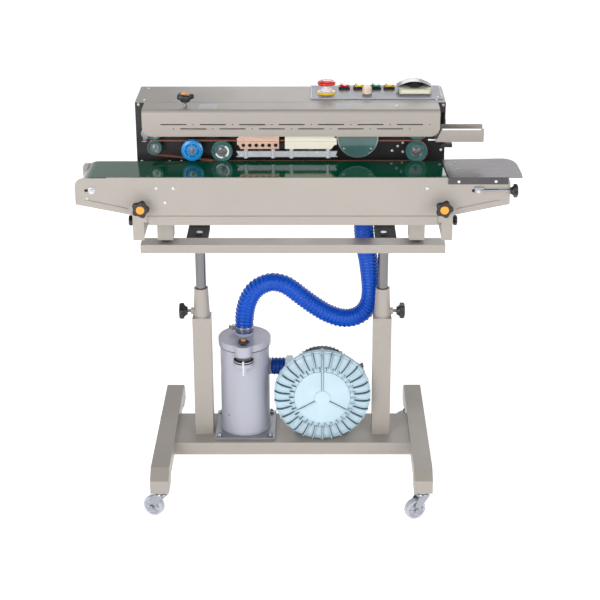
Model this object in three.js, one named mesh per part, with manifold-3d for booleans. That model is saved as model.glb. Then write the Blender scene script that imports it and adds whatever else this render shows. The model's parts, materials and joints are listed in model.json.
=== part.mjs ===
// Floor-standing continuous band sealer with a belt conveyor, a filter canister and a ring blower.
// Millimetres, +Z up, +X along the bag's travel, -Y towards the operator.
// Sizes are worked in the machine's own axes: x = 0 midway between the posts, y = 0 on the front
// plate, z = 0 on the floor. ORIGIN moves the whole model to its bounding-box centre at the end.
import * as THREE from 'three';
import { mergeVertices } from 'three/addons/utils/BufferGeometryUtils.js';
import Module from 'manifold-3d';

const wasm = await Module();
wasm.setup();

// ---------------------------------------------------------------- driving dimensions
const GAP = 0.3;                 // clearance left between touching pieces
const ORIGIN = { x: 19.5, y: 64.75 };

const FOOT_HALF_SPAN = 332;      // outer face of each foot from the middle
const FOOT_WIDTH = 44;
const FOOT_TOP = 129;
const FOOT_HEIGHT = 37;
const FOOT_FRONT = -175;
const FOOT_BACK = 319.5;
const FOOT_LEG_BOTTOM = 74;
const SHEET = 2.5;               // wall of the folded stand parts

const CROSS_TOP = 119;
const CROSS_FRONT = -8;
const CROSS_BACK = 147;

const POST_X = 217.5;
const POST_Y = 60;
const POST_SIZE = 44;
const POST_TOP = 429;
const COLLAR_TOP = 501;
const ROD_RADIUS = 12.5;
const ROD_BOTTOM = 300;
const CLAMP_Z = 441;

const CASTOR_RADIUS = 25;
const CASTOR_TRAIL = 20;
const CASTOR_WIDTH = 18;
const CASTOR_INSET = 25;

const FRAME_BOTTOM = 625.6;
const FRAME_TOP = 646.6;
const FRAME_FRONT = -34;
const FRAME_BACK = 174;
const REAR_BEAM_BOTTOM = 636;
const ARM_TOP = FRAME_BOTTOM + 12;
const BEAM_DEPTH = 46;
const BEAM_HALF = 351.5;
const BEAM_SHIFT = 4.5;

const BOX_BOTTOM = 828;
const BOX_TOP = 976.7;
const BOX_HALF = 349.5;
const BOX_BACK = 136.5;
const BOX_SHEET = 1.5;
const GUARD_LEFT = -328;
const GUARD_RIGHT = 332;
const GUARD_FRONT = -66;
const GUARD_BOTTOM = 916;

const SEAL_Z = 895.3;            // plane where the two bands meet
const BAND_BACK = -15;
const BAND_FRONT = -30;
const BAND = 0.6;

const CONVEYOR_X = 6;            // the conveyor sits a little towards the outlet
const PANEL_Y = -155;
const PANEL_HALF = 476;
const BELT_TOP = 848;
const BELT_BACK = -31;
const BELT_FRONT = -149;
const BELT_THICK = 1.5;
const ROLLER_RADIUS = 26.5;
const ROLLER_Z = BELT_TOP - BELT_THICK - ROLLER_RADIUS - GAP;
const ROLLER_IDLE_X = -433.6;
const ROLLER_DRIVE_X = 413;
const PANEL_BOTTOM = 761.4;
const BRACKET_HALF = 333;        // inner edge of the front bars from the conveyor's middle
const KNOB_HALF = 331;
const KNOB_Z = 786;
const SIDE_KNOB_Z = 731;
const SIDE_KNOB_Y = -100;

const CANISTER = { x: -116.5, y: 78, r: 60, bottom: 125.5, top: 358 };
const BLOWER = { x: 73, y: -8, z: 238, r: 118 };
const HOSE_RADIUS = 22;
const LINK = { y: 93, z: 278 };   // axis of the short hose from canister to blower

const COLOURS = {
  beige: [0xbeb7af, 0.45, 0.1], steel: [0xb9bbbe, 0.3, 0.9], chrome: [0xd8dadc, 0.12, 1.0],
  black: [0x1b1b1d, 0.5, 0.0], plate: [0x151517, 0.4, 0.1], lavender: [0xb9bbc6, 0.4, 0.1],
  ice: [0xcde6f0, 0.45, 0.1], blue: [0x0055cd, 0.35, 0.0], belt: [0x0b5a44, 0.25, 0.0],
  teal: [0x326e6e, 0.4, 0.0], sky: [0x1496dc, 0.35, 0.0], copper: [0xe1b9a5, 0.35, 0.8],
  band: [0xaa6e5a, 0.5, 0.0], grey: [0x8d95a3, 0.45, 0.1], red: [0xd81e1e, 0.35, 0.0],
  yellow: [0xf0c81e, 0.4, 0.0], green: [0x1c9a50, 0.4, 0.0], ivory: [0xe8d5c4, 0.4, 0.0],
  nylon: [0xdadbe0, 0.4, 0.0], rubber: [0x202022, 0.7, 0.0],
};

// ---------------------------------------------------------------- shape helpers
function solid(geometry) {
  const bare = geometry.index ? geometry.toNonIndexed() : geometry.clone();
  bare.deleteAttribute('normal');
  bare.deleteAttribute('uv');
  const merged = mergeVertices(bare, 1e-4);
  return new wasm.Manifold(new wasm.Mesh({
    numProp: 3,
    vertProperties: new Float32Array(merged.attributes.position.array),
    triVerts: new Uint32Array(merged.index.array),
  }));
}

function box(x0, x1, y0, y1, z0, z1) {
  const shape = new THREE.BoxGeometry(x1 - x0, y1 - y0, z1 - z0);
  return solid(shape.translate((x0 + x1) / 2, (y0 + y1) / 2, (z0 + z1) / 2));
}

// Turns +Z geometry so that it runs along the named axis.
function along(geometry, axis) {
  if (axis === 'x') geometry.rotateY(Math.PI / 2);
  if (axis === 'y') geometry.rotateX(-Math.PI / 2);
  return geometry;
}

// A round bar from `from` to `to` along an axis, centred on (a, b) in the other two.
function bar(axis, a, b, from, to, radius, segments = 20, farRadius = radius) {
  const shape = new THREE.CylinderGeometry(farRadius, radius, to - from, segments).rotateX(Math.PI / 2);
  along(shape, axis);
  const middle = (from + to) / 2;
  if (axis === 'x') shape.translate(middle, a, b);
  if (axis === 'y') shape.translate(a, middle, b);
  if (axis === 'z') shape.translate(a, b, middle);
  return solid(shape);
}

function tube(axis, a, b, from, to, outer, inner, segments = 24) {
  const hole = bar(axis, a, b, from - 1, to + 1, inner, segments);
  return bar(axis, a, b, from, to, outer, segments).subtract(hole);
}

// An outline of [x, z] points made solid between two y planes.
function plateXZ(outline, y0, y1) {
  const shape = outline instanceof THREE.Shape
    ? outline : new THREE.Shape(outline.map(([x, z]) => new THREE.Vector2(x, z)));
  const body = new THREE.ExtrudeGeometry(shape, { depth: y1 - y0, bevelEnabled: false, curveSegments: 5 });
  return solid(body.rotateX(Math.PI / 2).translate(0, y1, 0));
}

// An outline of [y, z] points made solid between two x planes.
function plateYZ(outline, x0, x1) {
  const shape = new THREE.Shape(outline.map(([y, z]) => new THREE.Vector2(y, z)));
  const body = new THREE.ExtrudeGeometry(shape, { depth: x1 - x0, bevelEnabled: false });
  const turn = new THREE.Matrix4().set(0, 0, 1, x0, 1, 0, 0, 0, 0, 1, 0, 0, 0, 0, 0, 1);
  return solid(body.applyMatrix4(turn));
}

// An outline of [x, y] points made solid between two heights.
function plateXY(outline, z0, z1) {
  const shape = outline instanceof THREE.Shape
    ? outline : new THREE.Shape(outline.map(([x, y]) => new THREE.Vector2(x, y)));
  const body = new THREE.ExtrudeGeometry(shape, { depth: z1 - z0, bevelEnabled: false, curveSegments: 5 });
  return solid(body.translate(0, 0, z0));
}

function join(...pieces) {
  return pieces.reduce((all, piece) => all.add(piece));
}

function cut(body, ...tools) {
  return tools.reduce((all, tool) => all.subtract(tool), body);
}

// A closed tube of regular section that follows a smooth curve through the points.
function flexibleTube(points, radius, steps, sides = 8) {
  const knots = points.map((p) => new THREE.Vector3(...p));
  const path = new THREE.CatmullRomCurve3(knots, false, 'centripetal');
  const section = new THREE.Shape();
  for (let i = 0; i < sides; i += 1) {
    const angle = (i / sides) * Math.PI * 2;
    const [u, v] = [Math.cos(angle) * radius, Math.sin(angle) * radius];
    if (i === 0) section.moveTo(u, v);
    else section.lineTo(u, v);
  }
  section.closePath();
  return solid(new THREE.ExtrudeGeometry(section, { steps, bevelEnabled: false, extrudePath: path }));
}

const machine = new THREE.Group();

function add(name, body, colour) {
  const raw = body.getMesh();
  const geometry = new THREE.BufferGeometry();
  geometry.setAttribute('position', new THREE.BufferAttribute(new Float32Array(raw.vertProperties), 3));
  geometry.setIndex(new THREE.BufferAttribute(new Uint32Array(raw.triVerts), 1));
  geometry.computeVertexNormals();
  const [color, roughness, metalness] = COLOURS[colour];
  const mesh = new THREE.Mesh(geometry, new THREE.MeshStandardMaterial({ color, roughness, metalness }));
  mesh.name = name;
  mesh.position.set(-ORIGIN.x, -ORIGIN.y, 0);
  machine.add(mesh);
}

// ---------------------------------------------------------------- stand
function footProfile(inset) {
  const chamfer = 29;
  const legDepth = 50;
  const [front, back] = [FOOT_FRONT + inset, FOOT_BACK - inset];
  const top = FOOT_TOP - inset;
  const under = FOOT_TOP - FOOT_HEIGHT;
  const rise = inset * 0.4;
  return [
    [front, FOOT_LEG_BOTTOM], [front, top - 22 + rise], [front + chamfer - rise, top],
    [back - chamfer + rise, top], [back, top - 22 + rise], [back, FOOT_LEG_BOTTOM],
    [back - legDepth + 2 * inset, FOOT_LEG_BOTTOM], [back - legDepth + 2 * inset - 12, under],
    [front + legDepth - 2 * inset + 12, under], [front + legDepth - 2 * inset, FOOT_LEG_BOTTOM],
  ];
}

// Each foot is a folded channel, open underneath, with a flat pad over each castor.
function foot(x0, x1) {
  const padDepth = 50;
  const padThickness = 3;
  const channel = plateYZ(footProfile(0), x0, x1);
  const cavity = plateYZ(footProfile(SHEET), x0 + SHEET, x1 - SHEET);
  const open = cavity.add(box(x0 + SHEET, x1 - SHEET, FOOT_FRONT + 55, FOOT_BACK - 55,
    FOOT_TOP - FOOT_HEIGHT - 1, FOOT_TOP - SHEET));
  const pads = [FOOT_FRONT, FOOT_BACK - padDepth].map((y) => box(x0, x1, y, y + padDepth,
    FOOT_LEG_BOTTOM, FOOT_LEG_BOTTOM + padThickness));
  return channel.subtract(open).add(join(...pads));
}

function standBase() {
  const inner = FOOT_HALF_SPAN - FOOT_WIDTH;
  const skirt = 33;
  const cross = cut(box(-inner - 1, inner + 1, CROSS_FRONT, CROSS_BACK, CROSS_TOP - skirt, CROSS_TOP),
    box(-inner + SHEET, inner - SHEET, CROSS_FRONT + SHEET, CROSS_BACK - SHEET, 0, CROSS_TOP - SHEET));
  return join(foot(-FOOT_HALF_SPAN, -inner), foot(inner, FOOT_HALF_SPAN), cross);
}

function post(side) {
  const x = side * POST_X;
  const half = POST_SIZE / 2;
  const wall = half - SHEET;
  const bottom = CROSS_TOP + GAP;
  const sleeve = cut(box(x - half, x + half, POST_Y - half, POST_Y + half, bottom, POST_TOP),
    box(x - wall, x + wall, POST_Y - wall, POST_Y + wall, bottom - 1, POST_TOP - 6));
  const collar = bar('z', x, POST_Y, POST_TOP - 12, COLLAR_TOP, 20.5, 24, 16.8);
  const outwards = (length, radius) => bar('x', POST_Y, CLAMP_Z,
    Math.min(x, x + side * length), Math.max(x, x + side * length), radius, 12);
  const boss = outwards(22, 7);
  const screwHole = outwards(30, 4.4);
  const rodBore = bar('z', x, POST_Y, bottom, COLLAR_TOP + 1, ROD_RADIUS + 0.5, 24);
  return cut(join(sleeve, collar, boss), rodBore, screwHole);
}

// Lobed hand-wheel on a screw, pointing along an axis; `dir` is the side the hand comes from.
function lobedKnob(axis, at, dir, radius, thickness, stemRadius, stemLength, lobes = 5) {
  const outline = new THREE.Shape();
  const steps = lobes * 4;
  for (let i = 0; i < steps; i += 1) {
    const angle = (i / steps) * Math.PI * 2;
    const reach = radius * (0.9 + 0.1 * Math.cos(lobes * angle));
    const [u, v] = [Math.cos(angle) * reach, Math.sin(angle) * reach];
    if (i === 0) outline.moveTo(u, v);
    else outline.lineTo(u, v);
  }
  outline.closePath();
  const stem = bar('z', 0, 0, 0, stemLength + 1, stemRadius, 8);
  const hub = bar('z', 0, 0, stemLength - 3, stemLength + 1, radius * 0.55, 10);
  const grip = plateXY(outline, stemLength, stemLength + thickness);
  const cap = bar('z', 0, 0, stemLength + thickness - 1, stemLength + thickness + 1.5, radius * 0.46, 10);
  const knob = join(stem, hub, grip, cap);
  const turned = { x: knob.rotate([0, dir * 90, 0]), y: knob.rotate([-dir * 90, 0, 0]), z: knob }[axis];
  return turned.translate(at);
}

function castorFork() {
  const crown = bar('z', 0, 0, 58, 65, 17, 16);
  const race = bar('z', 0, 0, 64, FOOT_LEG_BOTTOM - GAP, 13, 12);
  const half = CASTOR_WIDTH / 2;
  const cheekOutline = [[-14, 59], [14, 59], [CASTOR_TRAIL + 8, 30], [CASTOR_TRAIL + 6, 19],
    [CASTOR_TRAIL - 6, 19], [CASTOR_TRAIL - 9, 30]];
  const cheeks = [-half - 3, half + 1].map((y) => plateXZ(cheekOutline, y, y + 2));
  const bridge = box(-12, 14, -half - 3, half + 3, 57, 60);
  const axle = bar('y', CASTOR_TRAIL, CASTOR_RADIUS, -half - 4, half + 4, 3, 8);
  return join(crown, race, bridge, ...cheeks, axle);
}

function castorWheel() {
  const half = CASTOR_WIDTH / 2;
  const tyre = bar('y', CASTOR_TRAIL, CASTOR_RADIUS, -half, half, CASTOR_RADIUS, 32);
  return cut(tyre, bar('y', CASTOR_TRAIL, CASTOR_RADIUS, -half - 1, half + 1, 3.4, 10));
}

// Resting direction of each castor's trail, in degrees from +X.
const CASTORS = [
  ['front_left', -1, FOOT_FRONT + CASTOR_INSET, 155],
  ['front_right', 1, FOOT_FRONT + CASTOR_INSET, 205],
  ['rear_left', -1, FOOT_BACK - CASTOR_INSET, 170],
  ['rear_right', 1, FOOT_BACK - CASTOR_INSET, 188],
];

add('stand_base', standBase(), 'beige');
add('post_left', post(-1), 'beige');
add('post_right', post(1), 'beige');
for (const [corner, side, y, heading] of CASTORS) {
  const x = side * (FOOT_HALF_SPAN - FOOT_WIDTH / 2);
  add(`castor_fork_${corner}`, castorFork().rotate([0, 0, heading]).translate([x, y, 0]), 'steel');
  add(`castor_wheel_${corner}`, castorWheel().rotate([0, 0, heading]).translate([x, y, 0]), 'nylon');
}
for (const [name, side] of [['left', -1], ['right', 1]]) {
  const start = side * (POST_X + ROD_RADIUS + 1);
  add(`clamp_knob_${name}`, lobedKnob('x', [start, POST_Y, CLAMP_Z], side, 20, 16, 4, 24.5), 'black');
}

// ---------------------------------------------------------------- filter canister
function filterCanister() {
  const { x, y, r, bottom, top } = CANISTER;
  const plateHalf = 74;
  const boltHalf = 62;
  const plate = box(x - plateHalf, x + plateHalf, y - plateHalf, y + plateHalf, CROSS_TOP + GAP, bottom);
  const shell = bar('z', x, y, bottom - 1, top, r, 28);
  const cavity = bar('z', x, y, bottom + 2, top + 1, r - 2, 28);
  const outlet = tube('x', LINK.y, LINK.z, x + r - 6, x + r + 4, 20, 17, 16);
  const port = bar('x', LINK.y, LINK.z, x + r - 10, x + r + 20, 17, 16);
  const bolts = [-1, 1].flatMap((i) => [-1, 1].map((j) => bar('z', x + boltHalf * i, y + boltHalf * j,
    bottom - 1, bottom + 5, 6, 6)));
  const strap = box(x - 9, x + 9, y - r - 8, y - r + 1, 298, 332);
  return cut(join(plate, shell, outlet, strap, ...bolts), cavity, port);
}

function filterLid() {
  const { x, y, r, top } = CANISTER;
  const disc = bar('z', x, y, top + GAP, top + 8.5, r + 4, 28);
  const skirt = tube('z', x, y, top - 8, top + 2, r + 4, r + 1, 28);
  const spigot = tube('z', x - 1, y + 18, top + 8, top + 12, HOSE_RADIUS - 2, HOSE_RADIUS - 5, 12);
  const lug = box(x - 13, x + 13, y - r - 14, y - r + 16, top + 4, top + 12);
  const clasp = box(x - 11, x + 11, y - r - 13, y - r - 9, top - 22, top + 6);
  const screwHole = bar('z', x, y - r - 2, top - 20, top + 20, 3.6, 12);
  const inletHole = bar('z', x - 1, y + 18, top - 1, top + 13, HOSE_RADIUS - 5, 20);
  return cut(join(disc, skirt, spigot, lug, clasp), screwHole, inletHole);
}

add('filter_canister', filterCanister(), 'lavender');
add('filter_lid', filterLid(), 'lavender');
const LID_SCREW = [CANISTER.x, CANISTER.y - CANISTER.r - 2, CANISTER.top + 3];
add('lid_knob', lobedKnob('z', LID_SCREW, 1, 14, 9, 3.3, 12.5), 'black');

// ---------------------------------------------------------------- ring blower
function blowerHousing() {
  const { x, y, z, r } = BLOWER;
  const profile = [[0, 3], [70, 3], [76, 0], [104, 0], [r, 14], [r, 30], [104, 48], [70, 52], [0, 52]];
  const shape = new THREE.LatheGeometry(profile.map(([a, b]) => new THREE.Vector2(a, b)), 32);
  const shell = solid(shape).translate([x, y, z]);
  const ring = new THREE.LatheGeometry([[14, 8], [96, 8], [96, 44], [14, 44], [14, 8]]
    .map(([a, b]) => new THREE.Vector2(a, b)), 24);
  const chamber = solid(ring).translate([x, y, z]);
  const shaftHole = bar('y', x, z, y + 3, y + 60, 14.2, 24);
  const neck = box(x - 97, x - 80, y + 40, LINK.y + 20, LINK.z - 22, LINK.z + 22);
  const neckBore = bar('x', LINK.y, LINK.z, x - 98, x - 84, 17, 12);
  return cut(join(shell, neck), chamber, shaftHole, neckBore);
}

function blowerImpeller() {
  const { x, y, z } = BLOWER;
  const disc = bar('y', x, z, y + 24, y + 28, 88, 24);
  const hub = bar('y', x, z, y + 14, y + 40, 18, 16);
  const vane = box(-1, 1, 11, 41, 50, 90);
  const vanes = Array.from({ length: 8 }, (_, i) => vane.rotate([0, 45 * i, 0]).translate([x, y, z]));
  return cut(join(disc, hub, ...vanes), bar('y', x, z, y + 10, y + 48, 6.5, 12));
}

function blowerMotor() {
  const { x, y, z } = BLOWER;
  const rear = y + 53;
  const drum = bar('y', x, z, rear, rear + 92, 80, 28);
  const endCap = bar('y', x, z, rear + 91, rear + 108, 62, 28, 48);
  const shaft = bar('y', x, z, y + 16, rear + 4, 6, 12);
  const feet = [-1, 1].map((side) => box(x + side * 55 - 12, x + side * 55 + 12, rear + 12, rear + 68,
    CROSS_TOP + GAP, z - 40));
  const terminalBox = box(x + 70, x + 102, rear + 18, rear + 74, z - 34, z + 34);
  return join(drum, endCap, shaft, ...feet, terminalBox);
}

add('blower_housing', blowerHousing(), 'ice');
add('blower_impeller', blowerImpeller(), 'steel');
add('blower_motor', blowerMotor(), 'black');

// ---------------------------------------------------------------- hoses
// The main hose climbs from the lid, loops over, dips and rises behind the right post to the housing.
const HOSE_ROUTE = [
  [-117.5, 96, 370.4], [-117.3, 96, 392], [-114.5, 96, 425], [-106, 96, 455], [-91, 96.5, 479],
  [-70, 96.5, 494], [-47, 97, 500], [-20, 97, 494.5], [0, 97, 482], [18, 97, 467], [51, 97, 441],
  [85, 97, 419], [118, 98, 406.5], [146, 99, 406.5], [169, 101, 417], [185, 103, 437],
  [191, 103, 463], [191, 100, 492], [188, 95, 524], [184, 88, 556], [178, 80, 590],
  [173, 73, 620], [170.5, 67, 655], [170, 62, 700], [170, 60, 745], [170, 60, 790], [170, 60, 813],
];
const LINK_ROUTE = [[-52.2, 93, 278], [-38, 93, 278], [-24.3, 93, 278]];

add('hose_main', flexibleTube(HOSE_ROUTE, HOSE_RADIUS, 26), 'blue');
add('hose_link', flexibleTube(LINK_ROUTE, HOSE_RADIUS, 2), 'blue');

// ---------------------------------------------------------------- lifting frame
function rod(side) {
  return bar('z', side * POST_X, POST_Y, ROD_BOTTOM, FRAME_BOTTOM - GAP, ROD_RADIUS, 24);
}

function topFrame() {
  const [left, right] = [BEAM_SHIFT - BEAM_HALF, BEAM_SHIFT + BEAM_HALF];
  const beams = [[FRAME_FRONT, FRAME_BOTTOM], [FRAME_BACK - BEAM_DEPTH, REAR_BEAM_BOTTOM]]
    .map(([y, bottom]) => cut(
      box(left, right, y, y + BEAM_DEPTH, bottom, FRAME_TOP),
      box(left - 1, right + 1, y + 2, y + BEAM_DEPTH - 2, bottom + 2, FRAME_TOP - 2)));
  const armX = 222;
  const arms = [-1, 1].map((side) => box(side * armX - 25, side * armX + 25,
    FRAME_FRONT + BEAM_DEPTH - 1, FRAME_BACK - BEAM_DEPTH + 1, FRAME_BOTTOM, ARM_TOP));
  const bolts = [-1, 1].map((side) => bar('z', side * POST_X, POST_Y,
    ARM_TOP - 1, ARM_TOP + 6, 8, 6));
  return join(...beams, ...arms, ...bolts);
}

const LEG_X = 290;

// Channel legs under the box, joined by rails, with the conveyor's bracket arms reaching forward.
function legFrame() {
  const pieces = [];
  for (const side of [-1, 1]) {
    const x = side * LEG_X;
    const legBottom = FRAME_TOP + 7;
    pieces.push(cut(box(x - 18, x + 18, -22, 18, legBottom, BOX_BOTTOM - GAP),
      box(x - 15.5, x + 15.5, -19.5, 19, legBottom + 3, BOX_BOTTOM - 16)));
    pieces.push(cut(box(x - 18, x + 18, 112, 150, legBottom, BOX_BOTTOM - GAP),
      box(x - 15.5, x + 15.5, 111, 147.5, legBottom + 3, BOX_BOTTOM - 16)));
    pieces.push(box(x - 18, x + 18, -22, 136, BOX_BOTTOM - 18, BOX_BOTTOM - GAP));
    for (const y of [-2, 140]) {
      pieces.push(bar('z', x, y, FRAME_TOP + GAP, legBottom + 1, 12, 10));
    }
    const web = CONVEYOR_X + side * (BRACKET_HALF - 4.5);
    const barOuter = CONVEYOR_X + side * (BRACKET_HALF + 20);
    const headInner = CONVEYOR_X + side * (BRACKET_HALF - 12);
    const span = (a, b, ...rest) => box(Math.min(a, b), Math.max(a, b), ...rest);
    pieces.push(span(web, web + side * 3, -150, 16, 710, 740));
    pieces.push(span(x + side * 17, web + side, -20, 16, 710, 740));
    pieces.push(span(web, barOuter, -153, -150, 703, 762));
    pieces.push(cut(span(headInner, barOuter, -153, -150, 745, 806),
      box(CONVEYOR_X + side * KNOB_HALF - 4.6, CONVEYOR_X + side * KNOB_HALF + 4.6, -160, -140, 762, 791)));
  }
  const crossRails = [-20, 118].map((y) => box(-273, 273, y, y + 16, BOX_BOTTOM - 14, BOX_BOTTOM - GAP));
  return join(...pieces, ...crossRails);
}

add('rod_left', rod(-1), 'chrome');
add('rod_right', rod(1), 'chrome');
add('top_frame', topFrame(), 'beige');
add('leg_frame', legFrame(), 'beige');

// ---------------------------------------------------------------- housing and front plate
const WHEELS = [
  ['infeed_wheel_lower', -305.6, SEAL_Z - BAND - GAP - 15.9, 15.9],
  ['guide_wheel_lower', -154.3, SEAL_Z - BAND - GAP - 24.2, 24.2],
  ['drive_wheel_lower', 283.7, SEAL_Z - BAND - GAP - 24.2, 24.2],
  ['infeed_wheel_upper', -305.6, SEAL_Z + BAND + GAP + 15.9, 15.9],
  ['drive_wheel_upper', 283.7, SEAL_Z + BAND + GAP + 24.2, 24.2],
];
const BLUE_WHEEL = { x: -220.6, z: 876, r: 24 };
const SHAFT_RADIUS = 5;
const PRESS_KNOB = { x: -232.4, y: -42 };

function housing() {
  const shell = cut(
    box(-BOX_HALF, BOX_HALF, 1.8, BOX_BACK, BOX_BOTTOM, BOX_TOP),
    box(-BOX_HALF + BOX_SHEET, BOX_HALF - BOX_SHEET, 1, BOX_BACK - BOX_SHEET,
      BOX_BOTTOM + BOX_SHEET, BOX_TOP - BOX_SHEET));
  const [portX, portY] = HOSE_ROUTE[HOSE_ROUTE.length - 1];
  const bore = HOSE_RADIUS - 4;
  const port = tube('z', portX, portY, BOX_BOTTOM - 14.5, BOX_BOTTOM + 1, HOSE_RADIUS, bore, 20);
  const portHole = bar('z', portX, portY, BOX_BOTTOM - 20, BOX_BOTTOM + 4, bore, 20);
  const slots = Array.from({ length: 6 }, (_, i) => box(-180 + 45 * i, -150 + 45 * i,
    BOX_BACK - 3, BOX_BACK + 1, 930, 934));
  return cut(join(shell, port), portHole, ...slots);
}

function frontPlate() {
  const plate = box(-BOX_HALF, BOX_HALF, 0, 1.5, BOX_BOTTOM, BOX_TOP - 1.5);
  const shafts = [...WHEELS, ['', BLUE_WHEEL.x, BLUE_WHEEL.z]].map(([, x, z]) => (
    bar('y', x, z, -1, 3, SHAFT_RADIUS + 0.5, 10)));
  const nipCentre = { x: 151, z: 904 };
  const cover = bar('y', nipCentre.x, nipCentre.z, -36, -33, 46, 32)
    .intersect(box(100, 200, -40, -30, 850, BOX_TOP - 40));
  const standoffs = [-30, 30].map((dx) => bar('y', nipCentre.x + dx, 878.5, -34, 1, 4, 8));
  return cut(join(plate, cover, ...standoffs), ...shafts);
}

// The guard is a folded sheet: a flange over the top, a rounded bend and a vertical apron.
function guard() {
  const fold = new THREE.Shape();
  const bend = 10;
  fold.moveTo(-GAP, BOX_TOP);
  fold.lineTo(GUARD_FRONT + bend, BOX_TOP);
  fold.absarc(GUARD_FRONT + bend, BOX_TOP - bend, bend, Math.PI / 2, Math.PI, false);
  fold.lineTo(GUARD_FRONT, GUARD_BOTTOM);
  fold.lineTo(GUARD_FRONT + BOX_SHEET, GUARD_BOTTOM);
  fold.lineTo(GUARD_FRONT + BOX_SHEET, BOX_TOP - bend);
  fold.absarc(GUARD_FRONT + bend, BOX_TOP - bend, bend - BOX_SHEET, Math.PI, Math.PI / 2, true);
  fold.lineTo(-GAP, BOX_TOP - BOX_SHEET);
  fold.closePath();
  const outline = fold.getPoints(3).map((p) => [p.x, p.y]);
  const sheet = plateYZ(outline, GUARD_LEFT, GUARD_RIGHT);
  const corner = 21;
  const face = new THREE.Shape();
  face.moveTo(GUARD_LEFT, BOX_TOP + 1);
  face.lineTo(GUARD_LEFT, GUARD_BOTTOM + corner);
  face.absarc(GUARD_LEFT + corner, GUARD_BOTTOM + corner, corner, Math.PI, 1.5 * Math.PI, false);
  face.lineTo(GUARD_RIGHT - corner, GUARD_BOTTOM);
  face.absarc(GUARD_RIGHT - corner, GUARD_BOTTOM + corner, corner, 1.5 * Math.PI, 2 * Math.PI, false);
  face.lineTo(GUARD_RIGHT, BOX_TOP + 1);
  face.closePath();
  const trimmed = sheet.intersect(plateXZ(face, GUARD_FRONT - 1, 0));
  const pitch = 87.2;
  const louvres = [];
  for (let i = 0; i < 7; i += 1) {
    louvres.push(box(-286.8 + pitch * i, -229.3 + pitch * i, GUARD_FRONT - 1, GUARD_FRONT + 3, 942.6, 944.8));
    if (i < 6) {
      louvres.push(box(-243.4 + pitch * i, -185.9 + pitch * i, GUARD_FRONT - 1, GUARD_FRONT + 3, 932.8, 935));
    }
  }
  const knobHole = bar('z', PRESS_KNOB.x, PRESS_KNOB.y, BOX_TOP - 5, BOX_TOP + 5, 4.8, 10);
  const backTabs = [-200, 200].map((x) => box(x - 10, x + 10, -3, -GAP, BOX_TOP - 14, BOX_TOP - 1));
  return cut(join(trimmed, ...backTabs), ...louvres, knobHole);
}

add('housing', housing(), 'beige');
add('front_plate', frontPlate(), 'plate');
add('guard', guard(), 'beige');
add('press_knob', lobedKnob('z', [PRESS_KNOB.x, PRESS_KNOB.y, BOX_TOP - 20], 1, 20, 14, 4.2, 37), 'black');

// ---------------------------------------------------------------- control console
const ROCKERS = [
  ['rocker_1', 123.2, 'red'],
  ['rocker_2', 156.5, 'yellow'],
  ['rocker_3', 195.5, 'green'],
  ['rocker_4', 226.3, 'yellow'],
];
const ROCKER_Y = 110;
const CONSOLE_TOP = BOX_TOP + 3.3;
const STOP = { x: 81.5, y: 67 };
const SPEED = { x: 174.4, y: 64 };

function consolePanel() {
  const panel = box(45, 345, 22.5, 135, BOX_TOP + GAP, CONSOLE_TOP);
  const collar = bar('z', STOP.x, STOP.y, CONSOLE_TOP - 1, CONSOLE_TOP + 4, 23, 20, 20);
  const sleeve = bar('z', STOP.x, STOP.y, CONSOLE_TOP + 3, CONSOLE_TOP + 12, 11, 16);
  const bezels = ROCKERS.map(([, x]) => box(x - 13, x + 13, ROCKER_Y - 10, ROCKER_Y + 10,
    CONSOLE_TOP - 1, CONSOLE_TOP + 5));
  const wells = ROCKERS.map(([, x]) => box(x - 10, x + 10, ROCKER_Y - 7, ROCKER_Y + 7,
    CONSOLE_TOP - 2, CONSOLE_TOP + 6));
  const stopBore = bar('z', STOP.x, STOP.y, CONSOLE_TOP - 2, CONSOLE_TOP + 13, 7.3, 16);
  const speedBore = bar('z', SPEED.x, SPEED.y, CONSOLE_TOP - 5, CONSOLE_TOP + 1, 3.3, 12);
  return cut(join(panel, collar, sleeve, ...bezels), ...wells, stopBore, speedBore);
}

function emergencyStop() {
  const profile = [[0, 20.7], [8, 20.7], [19.5, 21.7], [21, 24.2], [19, 27.7], [12, 30.7], [0, 31.2]];
  const points = profile.map(([a, b]) => new THREE.Vector2(a, b));
  const head = new THREE.LatheGeometry(points, 20).rotateX(Math.PI / 2);
  const plunger = bar('z', 0, 0, 5.4, 24, 7, 16);
  return join(solid(head), plunger).translate([STOP.x, STOP.y, CONSOLE_TOP - 0.9]);
}

function rocker(x) {
  const outline = [[-8.6, 2.5], [0, -1.5], [8.6, 2.5], [8.4, 4.6], [0, 4.4], [-8.4, 7.6]];
  const body = plateXZ(outline, -6.4, 6.4);
  return body.translate([x, ROCKER_Y, CONSOLE_TOP]);
}

function speedKnob() {
  const grip = bar('z', SPEED.x, SPEED.y, CONSOLE_TOP + GAP, CONSOLE_TOP + 17, 10.5, 20, 9);
  const pointer = box(SPEED.x - 1, SPEED.x + 1, SPEED.y - 11.3, SPEED.y, CONSOLE_TOP + 1, CONSOLE_TOP + 17.6);
  const shaft = bar('z', SPEED.x, SPEED.y, CONSOLE_TOP - 2.4, CONSOLE_TOP + 1, 3, 12);
  return join(grip, pointer, shaft);
}

function temperatureController() {
  const base = CONSOLE_TOP + GAP;
  const body = box(247.5, 319, 53, 112, base, base + 12);
  const arch = new THREE.Shape();
  arch.moveTo(243, base + 11);
  arch.quadraticCurveTo(283, base + 38, 323, base + 11);
  arch.closePath();
  const cover = plateXZ(arch.getPoints(10).slice(0, -1).map((p) => [p.x, p.y]), 76, 108);
  const core = box(272, 294, 66, 100, base + 11, base + 22);
  return join(body, cover, core);
}

add('console', consolePanel(), 'grey');
add('emergency_stop', emergencyStop(), 'red');
for (const [name, x, colour] of ROCKERS) add(name, rocker(x), colour);
add('speed_knob', speedKnob(), 'ivory');
add('temperature_controller', temperatureController(), 'grey');

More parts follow.
